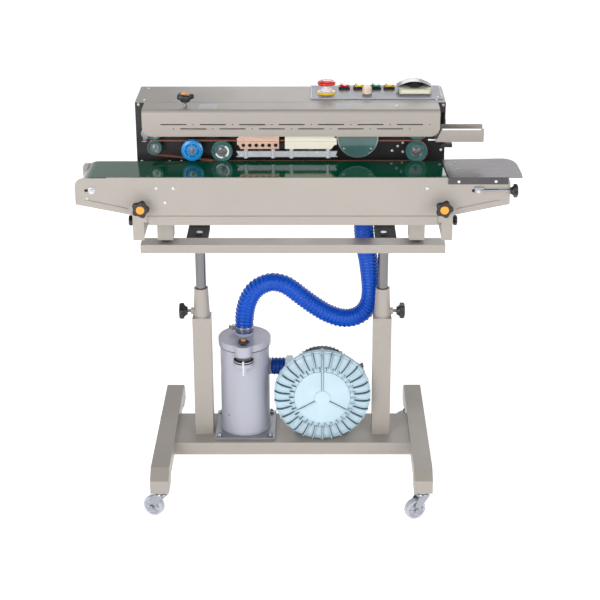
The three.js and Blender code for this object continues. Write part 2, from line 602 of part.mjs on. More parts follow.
// ---------------------------------------------------------------- sealing line
function bandWheel(x, z, r) {
  const tread = bar('y', x, z, BAND_FRONT, BAND_BACK, r, 32);
  const shaft = bar('y', x, z, BAND_BACK - 1, 22, SHAFT_RADIUS, 10);
  const boltHead = bar('y', x, z, BAND_FRONT - 4, BAND_FRONT + 1, r * 0.3, 6);
  return join(tread, shaft, boltHead);
}

function blueWheel() {
  const { x, z, r } = BLUE_WHEEL;
  const profile = [[0, -44], [r * 0.8, -44], [r, -42], [r, -33], [r * 0.8, -32], [0, -32]];
  const turned = new THREE.LatheGeometry(profile.map(([a, b]) => new THREE.Vector2(a, b)), 32);
  const disc = solid(turned).translate([x, 0, z]);
  const shaft = bar('y', x, z, -33, 22, SHAFT_RADIUS, 10);
  const boltHead = bar('y', x, z, -47, -43, 6, 6);
  return join(disc, shaft, boltHead);
}

// Outline of a taut loop round circles, taken as the hull of points on each circle.
function hullOutline(circles, grow) {
  const points = [];
  for (const [x, z, r] of circles) {
    for (let i = 0; i < 32; i += 1) {
      const angle = (i / 32) * Math.PI * 2;
      points.push([x + Math.cos(angle) * (r + grow), z + Math.sin(angle) * (r + grow)]);
    }
  }
  points.sort((a, b) => a[0] - b[0] || a[1] - b[1]);
  const turn = (o, a, b) => (a[0] - o[0]) * (b[1] - o[1]) - (a[1] - o[1]) * (b[0] - o[0]);
  const half = (list) => {
    const kept = [];
    for (const p of list) {
      while (kept.length > 1 && turn(kept[kept.length - 2], kept[kept.length - 1], p) <= 1e-6) kept.pop();
      kept.push(p);
    }
    return kept.slice(0, -1);
  };
  return [...half(points), ...half([...points].reverse())];
}

function band(loop) {
  const outer = plateXZ(hullOutline(loop, GAP + BAND), BAND_FRONT + 0.5, BAND_BACK - 0.5);
  const inner = plateXZ(hullOutline(loop, GAP), BAND_FRONT - 1, BAND_BACK + 1);
  return outer.subtract(inner);
}

function lowerBlocks() {
  const top = SEAL_Z - 2;
  const heater = cut(plateXZ([[-112, 877.2], [-25.4, 877.2], [-25.4, top], [-120.3, top]], -34, -12),
    ...Array.from({ length: 6 }, (_, i) => bar('y', -105.6 + 14.5 * i, 886.5, -35, -16, 3.6, 8)));
  const insulator = box(-26, -12, -32, -12, 877.2, top - 2);
  const cooler = plateXZ([[-12.4, 877.2], [92, 877.2], [104.5, top], [-12.4, top]], -34, -12);
  const rail = box(-121.8, 105.8, -30, -24, 858.6, 870.8);
  const pins = [-100.3, -39, 2.2, 84.8].map((x) => bar('z', x, -29, 856, 878, 4, 8));
  const brackets = [-70, 45].map((x) => box(x - 5, x + 5, -25, -GAP, 860, 869));
  return join(heater, insulator, cooler, rail, ...pins, ...brackets);
}

function upperBlocks() {
  const bottom = SEAL_Z + 2;
  const heater = plateXZ([[-112, 914], [-25.4, 914], [-25.4, bottom], [-120.3, bottom]], -34, -12);
  const cooler = plateXZ([[-12.4, 914], [92, 914], [104.5, bottom], [-12.4, bottom]], -34, -12);
  const bridge = box(-60, 40, -30, -14, 908, 926);
  const mount = box(-10, 10, -15, -GAP, 910, 924);
  return join(heater, cooler, bridge, mount);
}

const isLower = ([name]) => name.endsWith('lower');
const circles = (wheels) => wheels.map(([, x, z, r]) => [x, z, r]);
for (const [name, x, z, r] of WHEELS) add(name, bandWheel(x, z, r), 'teal');
add('blue_wheel', blueWheel(), 'sky');
add('band_lower', band(circles(WHEELS.filter(isLower))), 'band');
add('band_upper', band(circles(WHEELS.filter((wheel) => !isLower(wheel)))), 'band');
add('lower_blocks', lowerBlocks(), 'copper');
add('upper_blocks', upperBlocks(), 'copper');

function exitGuide() {
  const channel = cut(plateXZ([[324, 901], [431, 901], [431, 932], [338, 932]], -58, -20),
    plateXZ([[320, 903], [440, 903], [440, 940], [320, 940]], -56, -22));
  const lower = box(336, 362, -50, -20, 886, 893.5);
  const link = box(338, 346, -22, -GAP, 886, 910);
  return join(channel, lower, link);
}

add('exit_guide', exitGuide(), 'beige');

// Geared motor inside the box that turns the bands and the conveyor.
function gearMotor() {
  const gearbox = box(120, 210, 40, 118, 842, 930);
  const motor = bar('x', 79, 886, -10, 121, 32, 24);
  const fan = bar('x', 79, 886, -22, -9, 26, 24);
  const output = bar('y', 165, 886, 26, 42, 9, 16);
  const base = box(20, 215, 44, 114, BOX_BOTTOM + BOX_SHEET + GAP, 846);
  const pedestal = box(30, 60, 55, 103, 840, 866);
  return join(gearbox, motor, fan, output, base, pedestal);
}

add('gear_motor', gearMotor(), 'steel');

// ---------------------------------------------------------------- conveyor
const panelOutline = () => {
  const [left, right] = [CONVEYOR_X - PANEL_HALF, CONVEYOR_X + PANEL_HALF];
  const taper = 360;
  const round = 19;
  const shape = new THREE.Shape();
  shape.moveTo(CONVEYOR_X - taper, PANEL_BOTTOM + 3);
  shape.lineTo(CONVEYOR_X - taper + 12, PANEL_BOTTOM);
  shape.lineTo(CONVEYOR_X + taper - 12, PANEL_BOTTOM);
  shape.lineTo(CONVEYOR_X + taper, PANEL_BOTTOM + 3);
  shape.lineTo(right, 788.5);
  shape.lineTo(right, 838);
  shape.lineTo(right - 4, 848.2);
  shape.lineTo(left + 2 * round, 848.2);
  shape.absarc(left + round, 848.2 - round, round, Math.PI / 2, Math.PI, false);
  shape.lineTo(left, 788);
  shape.closePath();
  return shape;
};

function conveyorPanel() {
  const sheet = plateXZ(panelOutline(), PANEL_Y, PANEL_Y + 1.5);
  const lip = box(-400, 345, PANEL_Y, PANEL_Y + 5, 848, 849.5);
  const knobHoles = [-1, 1].map((side) => bar('y', CONVEYOR_X + side * KNOB_HALF, KNOB_Z,
    PANEL_Y - 1, PANEL_Y + 3, 4.3, 16));
  const slots = [[-449, -429], [398.6, 457]].map(([a, b]) => box(a, b, PANEL_Y - 1, PANEL_Y + 3, 817, 823));
  return cut(join(sheet, lip), ...knobHoles, ...slots);
}

// Rear panel, slider bed, tie bars and the pan underneath, riveted into one frame.
function conveyorFrame() {
  const rear = plateXZ(panelOutline(), -29, -27.5)
    .subtract(box(-600, 600, -40, -20, 842.6, 860));
  const bed = box(-400, 383, -147, -28, 841.2, 842.6);
  const ties = [-380, -120, 130, 375].map((x) => bar('y', x, 776, PANEL_Y + 1.8, -28, 5, 8));
  const panOutline = (inset, height) => {
    const [left, right, bottom] = [CONVEYOR_X - 324 + inset, CONVEYOR_X + 324 - inset, 737.5 + inset];
    const lowerEdge = [[left, 752], [left + 10, bottom], [right - 10, bottom], [right, 752]];
    return [[left, height], ...lowerEdge, [right, height]];
  };
  const pan = cut(plateXZ(panOutline(0, 758.5), -149.5, -27.5), plateXZ(panOutline(1.5, 770), -148, -29));
  const hangers = [-250, 250].map((x) => box(CONVEYOR_X + x - 10, CONVEYOR_X + x + 10, -31, -27.5, 750, 770));
  return join(rear, bed, pan, ...ties, ...hangers);
}

function roller(x) {
  const drum = bar('y', x, ROLLER_Z, BELT_FRONT + 1, BELT_BACK - 1, ROLLER_RADIUS, 32);
  const core = bar('y', x, ROLLER_Z, BELT_FRONT - 4, BELT_BACK + 1.5, 5, 8);
  return drum.add(core);
}

function conveyorBelt() {
  const rollers = [[ROLLER_IDLE_X, ROLLER_Z, ROLLER_RADIUS], [ROLLER_DRIVE_X, ROLLER_Z, ROLLER_RADIUS]];
  return plateXZ(hullOutline(rollers, GAP + BELT_THICK), BELT_FRONT, BELT_BACK)
    .subtract(plateXZ(hullOutline(rollers, GAP), BELT_FRONT - 1, BELT_BACK + 1));
}

function tray() {
  const outline = new THREE.Shape();
  outline.moveTo(346, -157.2);
  outline.lineTo(507.5, -157.2);
  outline.lineTo(509, -131);
  outline.lineTo(507, -66);
  outline.quadraticCurveTo(503, -24, 478, -21);
  outline.lineTo(341, -29);
  outline.closePath();
  const top = plateXY(outline, 849.8, 851.3);
  const flange = box(346, 477, -157.2, -155.7, 835, 851);
  return join(top, flange);
}

add('conveyor_panel', conveyorPanel(), 'beige');
add('conveyor_frame', conveyorFrame(), 'beige');
add('conveyor_belt', conveyorBelt(), 'belt');
add('idle_roller', roller(ROLLER_IDLE_X), 'nylon');
add('drive_roller', roller(ROLLER_DRIVE_X), 'steel');
add('tray', tray(), 'steel');
add('tension_knob', lobedKnob('x', [416, PANEL_Y - 4, 821], 1, 15.5, 12, 2.5, 70), 'black');
for (const [name, side] of [['left', -1], ['right', 1]]) {
  const x = CONVEYOR_X + side * KNOB_HALF;
  add(`height_knob_${name}`, lobedKnob('y', [x, -147, KNOB_Z], -1, 20, 16, 4, 25.5), 'black');
  const webX = CONVEYOR_X + side * (BRACKET_HALF - 1.5);
  const sideBase = [webX + side * GAP, SIDE_KNOB_Y, SIDE_KNOB_Z];
  add(`side_knob_${name}`, lobedKnob('x', sideBase, side, 12, 11, 3.5, 25), 'black');
}

export default machine;
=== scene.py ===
# Looks of the continuous band sealer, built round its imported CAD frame.
# Lengths are written in the machine's own millimetres, as in part.mjs, and turned into metres of
# the row frame by point(): x = 0 midway between the posts, y = 0 on the front plate, z = 0 on the floor.
import json
from math import cos, degrees, hypot, pi, radians, sin, sqrt

import bmesh
import bpy
from mathutils import Matrix, Vector
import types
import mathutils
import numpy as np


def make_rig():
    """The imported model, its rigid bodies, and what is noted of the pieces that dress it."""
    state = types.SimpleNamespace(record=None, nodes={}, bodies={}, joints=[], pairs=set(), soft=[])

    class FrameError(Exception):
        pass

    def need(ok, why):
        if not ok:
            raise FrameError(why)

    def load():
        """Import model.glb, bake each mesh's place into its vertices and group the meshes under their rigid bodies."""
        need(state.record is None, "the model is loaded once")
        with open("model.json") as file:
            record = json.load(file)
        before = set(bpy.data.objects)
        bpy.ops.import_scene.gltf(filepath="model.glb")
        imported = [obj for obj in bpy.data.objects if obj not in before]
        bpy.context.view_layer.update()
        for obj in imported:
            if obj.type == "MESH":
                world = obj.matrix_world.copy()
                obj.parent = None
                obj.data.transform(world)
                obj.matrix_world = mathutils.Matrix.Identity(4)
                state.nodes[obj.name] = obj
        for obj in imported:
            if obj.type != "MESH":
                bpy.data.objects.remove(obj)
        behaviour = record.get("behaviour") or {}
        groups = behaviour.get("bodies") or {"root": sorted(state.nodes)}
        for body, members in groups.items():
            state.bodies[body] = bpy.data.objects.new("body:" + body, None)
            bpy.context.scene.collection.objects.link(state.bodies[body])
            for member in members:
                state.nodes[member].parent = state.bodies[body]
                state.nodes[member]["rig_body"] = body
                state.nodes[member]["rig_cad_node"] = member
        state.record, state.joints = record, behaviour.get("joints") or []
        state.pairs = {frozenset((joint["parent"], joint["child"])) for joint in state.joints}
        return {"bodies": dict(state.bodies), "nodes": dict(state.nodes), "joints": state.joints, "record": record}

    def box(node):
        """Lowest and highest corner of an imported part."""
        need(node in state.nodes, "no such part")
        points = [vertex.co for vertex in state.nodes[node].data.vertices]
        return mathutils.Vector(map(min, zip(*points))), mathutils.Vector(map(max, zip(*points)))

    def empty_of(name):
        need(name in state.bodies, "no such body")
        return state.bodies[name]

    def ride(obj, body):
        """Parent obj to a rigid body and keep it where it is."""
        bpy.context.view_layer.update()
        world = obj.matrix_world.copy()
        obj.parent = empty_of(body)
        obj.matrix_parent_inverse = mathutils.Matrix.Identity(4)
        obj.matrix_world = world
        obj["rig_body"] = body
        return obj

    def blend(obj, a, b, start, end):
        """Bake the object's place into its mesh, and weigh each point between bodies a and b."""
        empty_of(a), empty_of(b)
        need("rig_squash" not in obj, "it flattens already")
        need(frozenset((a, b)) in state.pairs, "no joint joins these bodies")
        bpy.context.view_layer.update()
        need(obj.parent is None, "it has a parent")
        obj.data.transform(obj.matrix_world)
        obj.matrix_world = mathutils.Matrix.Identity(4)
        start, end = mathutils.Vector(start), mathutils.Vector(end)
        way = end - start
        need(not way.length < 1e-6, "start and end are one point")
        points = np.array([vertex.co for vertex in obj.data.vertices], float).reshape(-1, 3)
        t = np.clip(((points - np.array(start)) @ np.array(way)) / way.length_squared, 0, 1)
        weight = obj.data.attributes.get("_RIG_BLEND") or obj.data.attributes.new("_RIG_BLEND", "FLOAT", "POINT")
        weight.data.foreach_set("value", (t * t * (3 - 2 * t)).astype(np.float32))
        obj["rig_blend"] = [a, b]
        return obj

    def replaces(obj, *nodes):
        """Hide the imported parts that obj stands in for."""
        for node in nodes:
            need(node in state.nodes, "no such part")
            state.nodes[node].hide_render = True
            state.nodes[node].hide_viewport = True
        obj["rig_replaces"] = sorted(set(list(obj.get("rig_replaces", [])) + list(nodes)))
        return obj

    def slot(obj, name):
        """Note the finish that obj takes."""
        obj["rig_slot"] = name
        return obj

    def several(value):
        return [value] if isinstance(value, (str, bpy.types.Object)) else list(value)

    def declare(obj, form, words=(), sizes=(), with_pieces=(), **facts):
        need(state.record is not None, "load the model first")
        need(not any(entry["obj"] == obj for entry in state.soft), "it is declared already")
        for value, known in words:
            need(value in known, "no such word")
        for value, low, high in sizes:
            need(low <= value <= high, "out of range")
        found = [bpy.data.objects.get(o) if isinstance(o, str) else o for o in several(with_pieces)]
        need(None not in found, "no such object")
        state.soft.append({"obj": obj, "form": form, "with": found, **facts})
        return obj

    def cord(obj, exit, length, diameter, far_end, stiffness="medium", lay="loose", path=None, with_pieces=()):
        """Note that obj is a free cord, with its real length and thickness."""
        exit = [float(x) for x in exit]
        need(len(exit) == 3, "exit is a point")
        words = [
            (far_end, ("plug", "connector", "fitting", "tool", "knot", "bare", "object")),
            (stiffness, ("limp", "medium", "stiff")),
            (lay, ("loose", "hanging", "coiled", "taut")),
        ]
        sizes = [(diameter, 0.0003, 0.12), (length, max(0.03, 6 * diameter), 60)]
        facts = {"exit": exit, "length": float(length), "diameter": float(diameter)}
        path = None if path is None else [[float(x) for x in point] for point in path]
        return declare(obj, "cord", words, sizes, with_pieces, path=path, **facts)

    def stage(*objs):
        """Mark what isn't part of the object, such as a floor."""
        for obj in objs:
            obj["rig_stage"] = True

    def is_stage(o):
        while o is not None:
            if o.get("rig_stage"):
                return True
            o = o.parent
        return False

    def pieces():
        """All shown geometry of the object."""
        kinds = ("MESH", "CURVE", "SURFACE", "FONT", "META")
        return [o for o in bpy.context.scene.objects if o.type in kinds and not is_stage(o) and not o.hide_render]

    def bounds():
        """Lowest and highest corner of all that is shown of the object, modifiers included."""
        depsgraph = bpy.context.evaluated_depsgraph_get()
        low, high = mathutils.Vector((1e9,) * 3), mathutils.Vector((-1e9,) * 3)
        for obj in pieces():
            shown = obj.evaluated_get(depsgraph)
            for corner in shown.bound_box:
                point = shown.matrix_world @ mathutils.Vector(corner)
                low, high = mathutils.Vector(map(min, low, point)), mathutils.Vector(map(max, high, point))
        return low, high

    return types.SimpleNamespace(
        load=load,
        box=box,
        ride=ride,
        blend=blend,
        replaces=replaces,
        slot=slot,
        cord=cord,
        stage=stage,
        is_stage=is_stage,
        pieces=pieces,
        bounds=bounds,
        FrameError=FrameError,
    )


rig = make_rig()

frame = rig.load()
CAD_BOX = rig.bounds()
NODES = frame["nodes"]
ORIGIN = Vector((19.5, 64.75, 0.0))
MM = 0.001
TURN = 2 * pi


def point(x, y, z):
    return (Vector((x, y, z)) - ORIGIN) * MM


# ------------------------ camera
IMAGE_SIDE = 600
FOCAL_PIXELS = 1495.6
SENSOR = 36.0

camera_data = bpy.data.cameras.new("camera")
camera = bpy.data.objects.new("camera", camera_data)
bpy.context.scene.collection.objects.link(camera)
camera.location = point(53, -3250, 1879)
camera.rotation_euler = (radians(90 - 20.78), 0, radians(-0.04))
camera_data.sensor_width = SENSOR
camera_data.lens = SENSOR * FOCAL_PIXELS / IMAGE_SIDE
camera_data.shift_x = -0.025
camera_data.shift_y = -0.10
camera_data.clip_end = 100
bpy.context.scene.camera = camera


# ------------------------ materials
def linear(red, green, blue):
    """Linear colour of an 8-bit screen colour."""
    def one(value):
        v = value / 255
        return v / 12.92 if v <= 0.04045 else ((v + 0.055) / 1.055) ** 2.4
    return (one(red), one(green), one(blue), 1.0)


def scaled(colour, factor):
    return tuple(min(1.0, c * factor) for c in colour[:3]) + (1.0,)


class Look:
    """A procedural material: colour, roughness and relief vary with place on the piece."""

    def __init__(self, name, colour, rough, metal=0.0, coat=0.0, coat_rough=0.08, clear=0.0, ior=1.5):
        self.material = bpy.data.materials.new(name)
        self.material.use_nodes = True
        self.tree = self.material.node_tree
        self.shader = self.tree.nodes["Principled BSDF"]
        self.colour = colour
        self.shader.inputs["Metallic"].default_value = metal
        self.shader.inputs["Coat Weight"].default_value = coat
        self.shader.inputs["Coat Roughness"].default_value = coat_rough
        self.shader.inputs["Transmission Weight"].default_value = clear
        self.shader.inputs["IOR"].default_value = ior
        self.shader.inputs["Roughness"].default_value = rough
        self.rough = rough
        self.place = self.node("ShaderNodeTexCoord").outputs["Object"]
        self.height = None

    def node(self, kind, **inputs):
        made = self.tree.nodes.new(kind)
        for key, value in inputs.items():
            made.inputs[key.replace("_", " ")].default_value = value
        return made

    def link(self, a, b):
        self.tree.links.new(a, b)

    def noise(self, scale, detail=3.0, stretch=None):
        vector = self.place
        if stretch:
            mapping = self.node("ShaderNodeMapping")
            mapping.inputs["Scale"].default_value = stretch
            self.link(self.place, mapping.inputs["Vector"])
            vector = mapping.outputs["Vector"]
        made = self.node("ShaderNodeTexNoise", Scale=scale, Detail=detail, Roughness=0.55)
        self.link(vector, made.inputs["Vector"])
        return made.outputs["Fac"]

    def spread(self, value, low, high, start=0.3, end=0.7):
        made = self.node("ShaderNodeMapRange")
        for socket, number in zip(("From Min", "From Max", "To Min", "To Max"), (start, end, low, high)):
            made.inputs[socket].default_value = number
        self.link(value, made.inputs["Value"])
        return made.outputs["Result"]

    def mix(self, factor, a, b):
        made = self.node("ShaderNodeMix")
        made.data_type = "RGBA"
        self.link(factor, made.inputs["Factor"])
        for socket, value in (("A", a), ("B", b)):
            target = next(s for s in made.inputs if s.name == socket and s.type == "RGBA")
            if isinstance(value, tuple):
                target.default_value = value
            else:
                self.link(value, target)
        return next(s for s in made.outputs if s.type == "RGBA")

    def tint(self, amount=0.06, scale=5.0, speck=0.0, speck_scale=260.0, stretch=None):
        """Broad drifts of tone, with optional fine specks."""
        factor = self.spread(self.noise(scale, 4.0, stretch), 0.0, 1.0)
        tone = self.mix(factor, scaled(self.colour, 1 - amount), scaled(self.colour, 1 + amount))
        if speck:
            fine = self.spread(self.noise(speck_scale, 2.0), 0.0, speck, 0.55, 0.75)
            tone = self.mix(fine, tone, scaled(self.colour, 0.45))
        self.tone = tone
        self.link(tone, self.shader.inputs["Base Color"])
        return self

    def smudge(self, amount=0.06, scale=22.0, stretch=None):
        value = self.spread(self.noise(scale, 5.0, stretch), self.rough - amount, self.rough + amount)
        self.link(value, self.shader.inputs["Roughness"])
        return self

    def relief(self, depth, scale, detail=2.0, stretch=None, strength=0.5):
        """Fine bump; depth in metres."""
        bump = self.node("ShaderNodeBump", Strength=strength, Distance=depth)
        self.link(self.noise(scale, detail, stretch), bump.inputs["Height"])
        if self.height is not None:
            self.link(self.height, bump.inputs["Normal"])
        self.height = bump.outputs["Normal"]
        self.link(self.height, self.shader.inputs["Normal"])
        return self

    def axis(self, name):
        split = self.node("ShaderNodeSeparateXYZ")
        self.link(self.place, split.inputs["Vector"])
        return split.outputs[name]

    def maths(self, operation, *values):
        made = self.node("ShaderNodeMath")
        made.operation = operation
        for socket, value in zip(made.inputs, values):
            if isinstance(value, float):
                socket.default_value = value
            else:
                self.link(value, socket)
        return made.outputs[0]

    def done(self):
        return self.material


def powder_coat(name, colour, rough=0.42):
    return (Look(name, colour, rough, coat=0.12, coat_rough=0.3)
            .tint(0.035, 4.0, 0.10, 420.0).smudge(0.05, 18.0).relief(0.00025, 650.0).done())


def plastic(name, colour, rough, coat=0.0, depth=0.0002, scale=900.0, tint=0.05):
    return Look(name, colour, rough, coat=coat).tint(tint, 30.0).smudge(0.07, 60.0).relief(depth,
            scale).done()


def metal(name, colour, rough, tint=0.08, stretch=None, depth=0.00012, scale=500.0, smudge=0.07):
    return (Look(name, colour, rough, metal=1.0)
            .tint(tint, 20.0, stretch=stretch).smudge(smudge, 30.0, stretch).relief(depth, scale, 3.0,
                    stretch).done())


BEIGE = powder_coat("beige_powder_coat", linear(158, 151, 144))
LAVENDER = powder_coat("lavender_paint", linear(166, 167, 179), 0.36)
BLACK_PAINT = powder_coat("black_plate_paint", linear(22, 22, 24), 0.35)
MOTOR_BLACK = powder_coat("motor_black_paint", linear(30, 31, 33), 0.5)
ICE = (Look("ice_blue_casting", linear(182, 205, 217), 0.38, coat=0.2, coat_rough=0.25)
       .tint(0.05, 9.0, 0.12, 300.0).smudge(0.06, 30.0).relief(0.0006, 260.0, 3.0).relief(0.0003,
               800.0).done())
# Darker ice blue laid in thin strips beside the fins: painted shadow, not a second colour of the casting.
ICE_PAINTED_SHADOW = (Look("ice_blue_painted_fin_shadow", linear(40, 84, 94), 0.5).tint(0.12, 9.0, 0.12, 300.0)
             .smudge(0.06, 30.0).relief(0.0006, 260.0, 3.0).done())
CHROME = metal("rod_chrome", linear(124, 122, 124), 0.16, 0.03, depth=0.00003, smudge=0.03)
ZINC = metal("bright_zinc", linear(160, 163, 169), 0.30, 0.08, depth=0.00006)
STEEL = metal("machined_steel", linear(158, 160, 164), 0.28, 0.04, depth=0.00003, scale=1500.0, smudge=0.03)
BRUSHED = (Look("brushed_stainless", linear(82, 79, 82), 0.34, metal=0.7)
           .tint(0.10, 14.0, stretch=(1, 30, 1)).smudge(0.08, 30.0, (1, 40, 1))
           .relief(0.00012, 60.0, 6.0, (1, 60, 1), 0.35).done())
CAST_ALLOY = (Look("cast_alloy", linear(170, 172, 176), 0.45, metal=1.0)
              .tint(0.12, 25.0, 0.2, 500.0).smudge(0.08).relief(0.0005, 700.0, 4.0).done())
BLACK_PLASTIC = plastic("moulded_black", linear(24, 24, 27), 0.42, 0.1, 0.00025, 1100.0)
# Black rubber, also laid on the frame's cross arms as painted shade.
BLACK_RUBBER_AND_SHADE = plastic("black_rubber_and_painted_shade", linear(30, 30, 31), 0.75, 0.0, 0.0004, 700.0)
ORANGE = plastic("orange_cap_plastic", linear(243, 150, 32), 0.35, 0.3, 0.0001, 700.0)
RED = plastic("red_gloss_plastic", linear(222, 24, 22), 0.22, 0.5, 0.00005, 400.0)
YELLOW = plastic("yellow_gloss_plastic", linear(240, 196, 18), 0.25, 0.4, 0.00005, 400.0)
GREEN = plastic("green_gloss_plastic", linear(14, 132, 92), 0.25, 0.4, 0.00005, 400.0)
IVORY = plastic("ivory_plastic", linear(238, 214, 196), 0.30, 0.3, 0.0001, 500.0)
WHITE = plastic("white_enamel", linear(238, 238, 240), 0.35, 0.2, 0.00005, 300.0)
LABEL = plastic("blank_label", linear(186, 188, 194), 0.5, 0.0, 0.00003, 300.0, 0.03)
INSTRUMENT = plastic("instrument_beige", linear(206, 200, 178), 0.38, 0.1)
NYLON = (Look("castor_nylon", linear(176, 178, 188), 0.38, coat=0.15).tint(0.06, 40.0, 0.12, 500.0)
         .smudge(0.08, 80.0).relief(0.0003, 500.0).done())
TEAL = (Look("silicone_teal", linear(48, 100, 98), 0.3, coat=0.3, coat_rough=0.12).tint(0.14, 60.0)
        .smudge(0.08, 60.0).relief(0.0002, 600.0).done())
SKY = plastic("sky_blue_nylon", linear(16, 148, 222), 0.25, 0.5, 0.0001, 500.0, 0.1)
SMOKED = (Look("smoked_cover", linear(44, 48, 54), 0.14, coat=0.5, clear=0.45).tint(0.05, 30.0)
          .smudge(0.04, 40.0).relief(0.00003, 300.0).done())
# Darker blue laid in the wheel's grooves and recesses: painted shade, not a second colour of the nylon.
SKY_PAINTED_SHADE = plastic("sky_blue_painted_groove_shade", linear(6, 84, 140), 0.4, 0.1, 0.0001, 500.0, 0.1)
NIP_COVER = (Look("teal_acrylic", linear(66, 110, 106), 0.14, coat=0.7, clear=0.25).tint(0.16, 24.0)
             .smudge(0.05, 40.0).relief(0.00004, 200.0).done())
COPPER = (Look("machined_copper", linear(226, 188, 168), 0.32, metal=0.45)
          .tint(0.10, 30.0, stretch=(1, 1, 8)).smudge(0.08, 40.0).relief(0.0002, 900.0, 3.0,
                  (4, 1, 1)).done())
CREAM = (Look("anodised_cream_block", linear(240, 234, 216), 0.38, metal=0.2).tint(0.04, 20.0,
        stretch=(1, 1, 6))
         .smudge(0.06, 30.0).relief(0.0001, 600.0).done())
# Light, only partly metallic colour for polished steel and zinc fittings: painted highlight that stands for their
# bright reflections.
BRIGHT_PAINTED_HIGHLIGHT = (Look("polished_fittings_painted_highlight", linear(206, 208, 214), 0.25, metal=0.25, coat=0.3).tint(0.06, 30.0)
          .smudge(0.05, 40.0).relief(0.00005, 900.0).done())
BASE_ZINC = (Look("zinc_base_plate", linear(140, 144, 150), 0.35, metal=0.4).tint(0.10, 16.0, 0.1, 300.0)
             .smudge(0.08, 20.0).relief(0.0001, 500.0).done())
BAND = (Look("coated_glass_band", linear(176, 112, 92), 0.4, coat=0.25).tint(0.14, 60.0)
        .smudge(0.1, 80.0).relief(0.0002, 1800.0, 1.0).done())
# Near-black: the colour of some dark parts, and painted shade in holes, slots, vents, gaps and behind openings.
BLACK_AND_PAINTED_SHADE = plastic("near_black_and_painted_shade", linear(14, 14, 15), 0.8, 0.0, 0.0003, 500.0)


def belt_material():
    look = Look("glossy_green_belt", linear(0, 86, 62), 0.08, coat=0.10, coat_rough=0.04, ior=1.38)
    look.tint(0.10, 3.0, stretch=(1, 6, 1)).smudge(0.03, 12.0, (1, 5, 1))
    return look.relief(0.00015, 30.0, 2.0, (0.4, 1, 1), 0.25).relief(0.00004, 900.0).done()


def hose_material(name, colour):
    look = Look(name, colour, 0.2)
    look.shader.inputs["Specular IOR Level"].default_value = 0.28
    return look.tint(0.10, 14.0).smudge(0.06, 40.0).relief(0.00025, 450.0, 3.0).done()


def console_material():
    """Blue-grey plate with a white painted line a few millimetres in from its edge."""
    low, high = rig.box("console")
    look = Look("console_with_border", linear(86, 91, 108), 0.38, coat=0.2, coat_rough=0.25)
    look.tint(0.04, 12.0, 0.06, 500.0).smudge(0.05, 30.0).relief(0.0002, 700.0)
    edges = []
    for name, a, b in (("X", low.x, high.x), ("Y", low.y, high.y)):
        off_centre = look.maths("ABSOLUTE", look.maths("SUBTRACT", look.axis(name), (a + b) / 2))
        edges.append(look.maths("SUBTRACT", (b - a) / 2, off_centre))
    line = look.spread(look.maths("MINIMUM", *edges), 1.0, 0.0, 0.0030, 0.0034)
    look.link(look.mix(line, look.tone, linear(168, 172, 186)), look.shader.inputs["Base Color"])
    return look.done()


BELT = belt_material()
HOSE_BLUE = hose_material("bright_blue_hose", linear(0, 71, 176))
# The short link hose is the same blue hose, in a darker copy of its colour: painted shade.
PAINTED_SHADE_HOSE = hose_material("blue_hose_painted_shade", linear(0, 52, 134))
CONSOLE_PLATE = console_material()
# The record's slot of each material, unless a piece says otherwise.
SLOTS = {material.name: slot for slot, group in {
    "zinc": (ZINC, STEEL, BRIGHT_PAINTED_HIGHLIGHT, BASE_ZINC), "beige_paint": (BEIGE, LABEL),
    "lavender_paint": (LAVENDER,), "ice_paint": (ICE, ICE_PAINTED_SHADOW), "motor_black": (MOTOR_BLACK,),
    "black_plastic": (BLACK_PLASTIC, ORANGE), "nylon_white": (NYLON,), "wheel_teal": (TEAL,),
    "wheel_blue": (SKY, SKY_PAINTED_SHADE), "copper_block": (COPPER,), "cast_aluminium": (CREAM,),
    "ivory_plastic": (IVORY,), "instrument_grey": (INSTRUMENT, SMOKED), "black_plate": (BLACK_AND_PAINTED_SHADE,),
    "red_plastic": (RED,),
}.items() for material in group}


# ------------------------ mesh helpers
def moved(x, y, z):
    return Matrix.Translation((x, y, z))


def turned(part):
    """A turn about Z by a part of the full circle."""
    return Matrix.Rotation(TURN * part, 4, "Z")


ALONG = {
    "+x": Matrix.Rotation(pi / 2, 4, "Y"), "-x": Matrix.Rotation(-pi / 2, 4, "Y"),
    "+y": Matrix.Rotation(-pi / 2, 4, "X"), "-y": Matrix.Rotation(pi / 2, 4, "X"),
    "+z": Matrix.Identity(4), "-z": Matrix.Rotation(pi, 4, "X"),
}


def soften(obj, width, angle=35.0):
    """Smooth shading with rounded edges `width` millimetres wide."""
    obj.data.shade_smooth()
    obj.data.set_sharp_from_angle(angle=radians(angle))
    if width:
        bevel = obj.modifiers.new("edges", "BEVEL")
        bevel.width = width * MM
        bevel.segments = 2
        bevel.limit_method = "ANGLE"
        bevel.angle_limit = radians(angle)
        bevel.harden_normals = True
        bevel.use_clamp_overlap = True


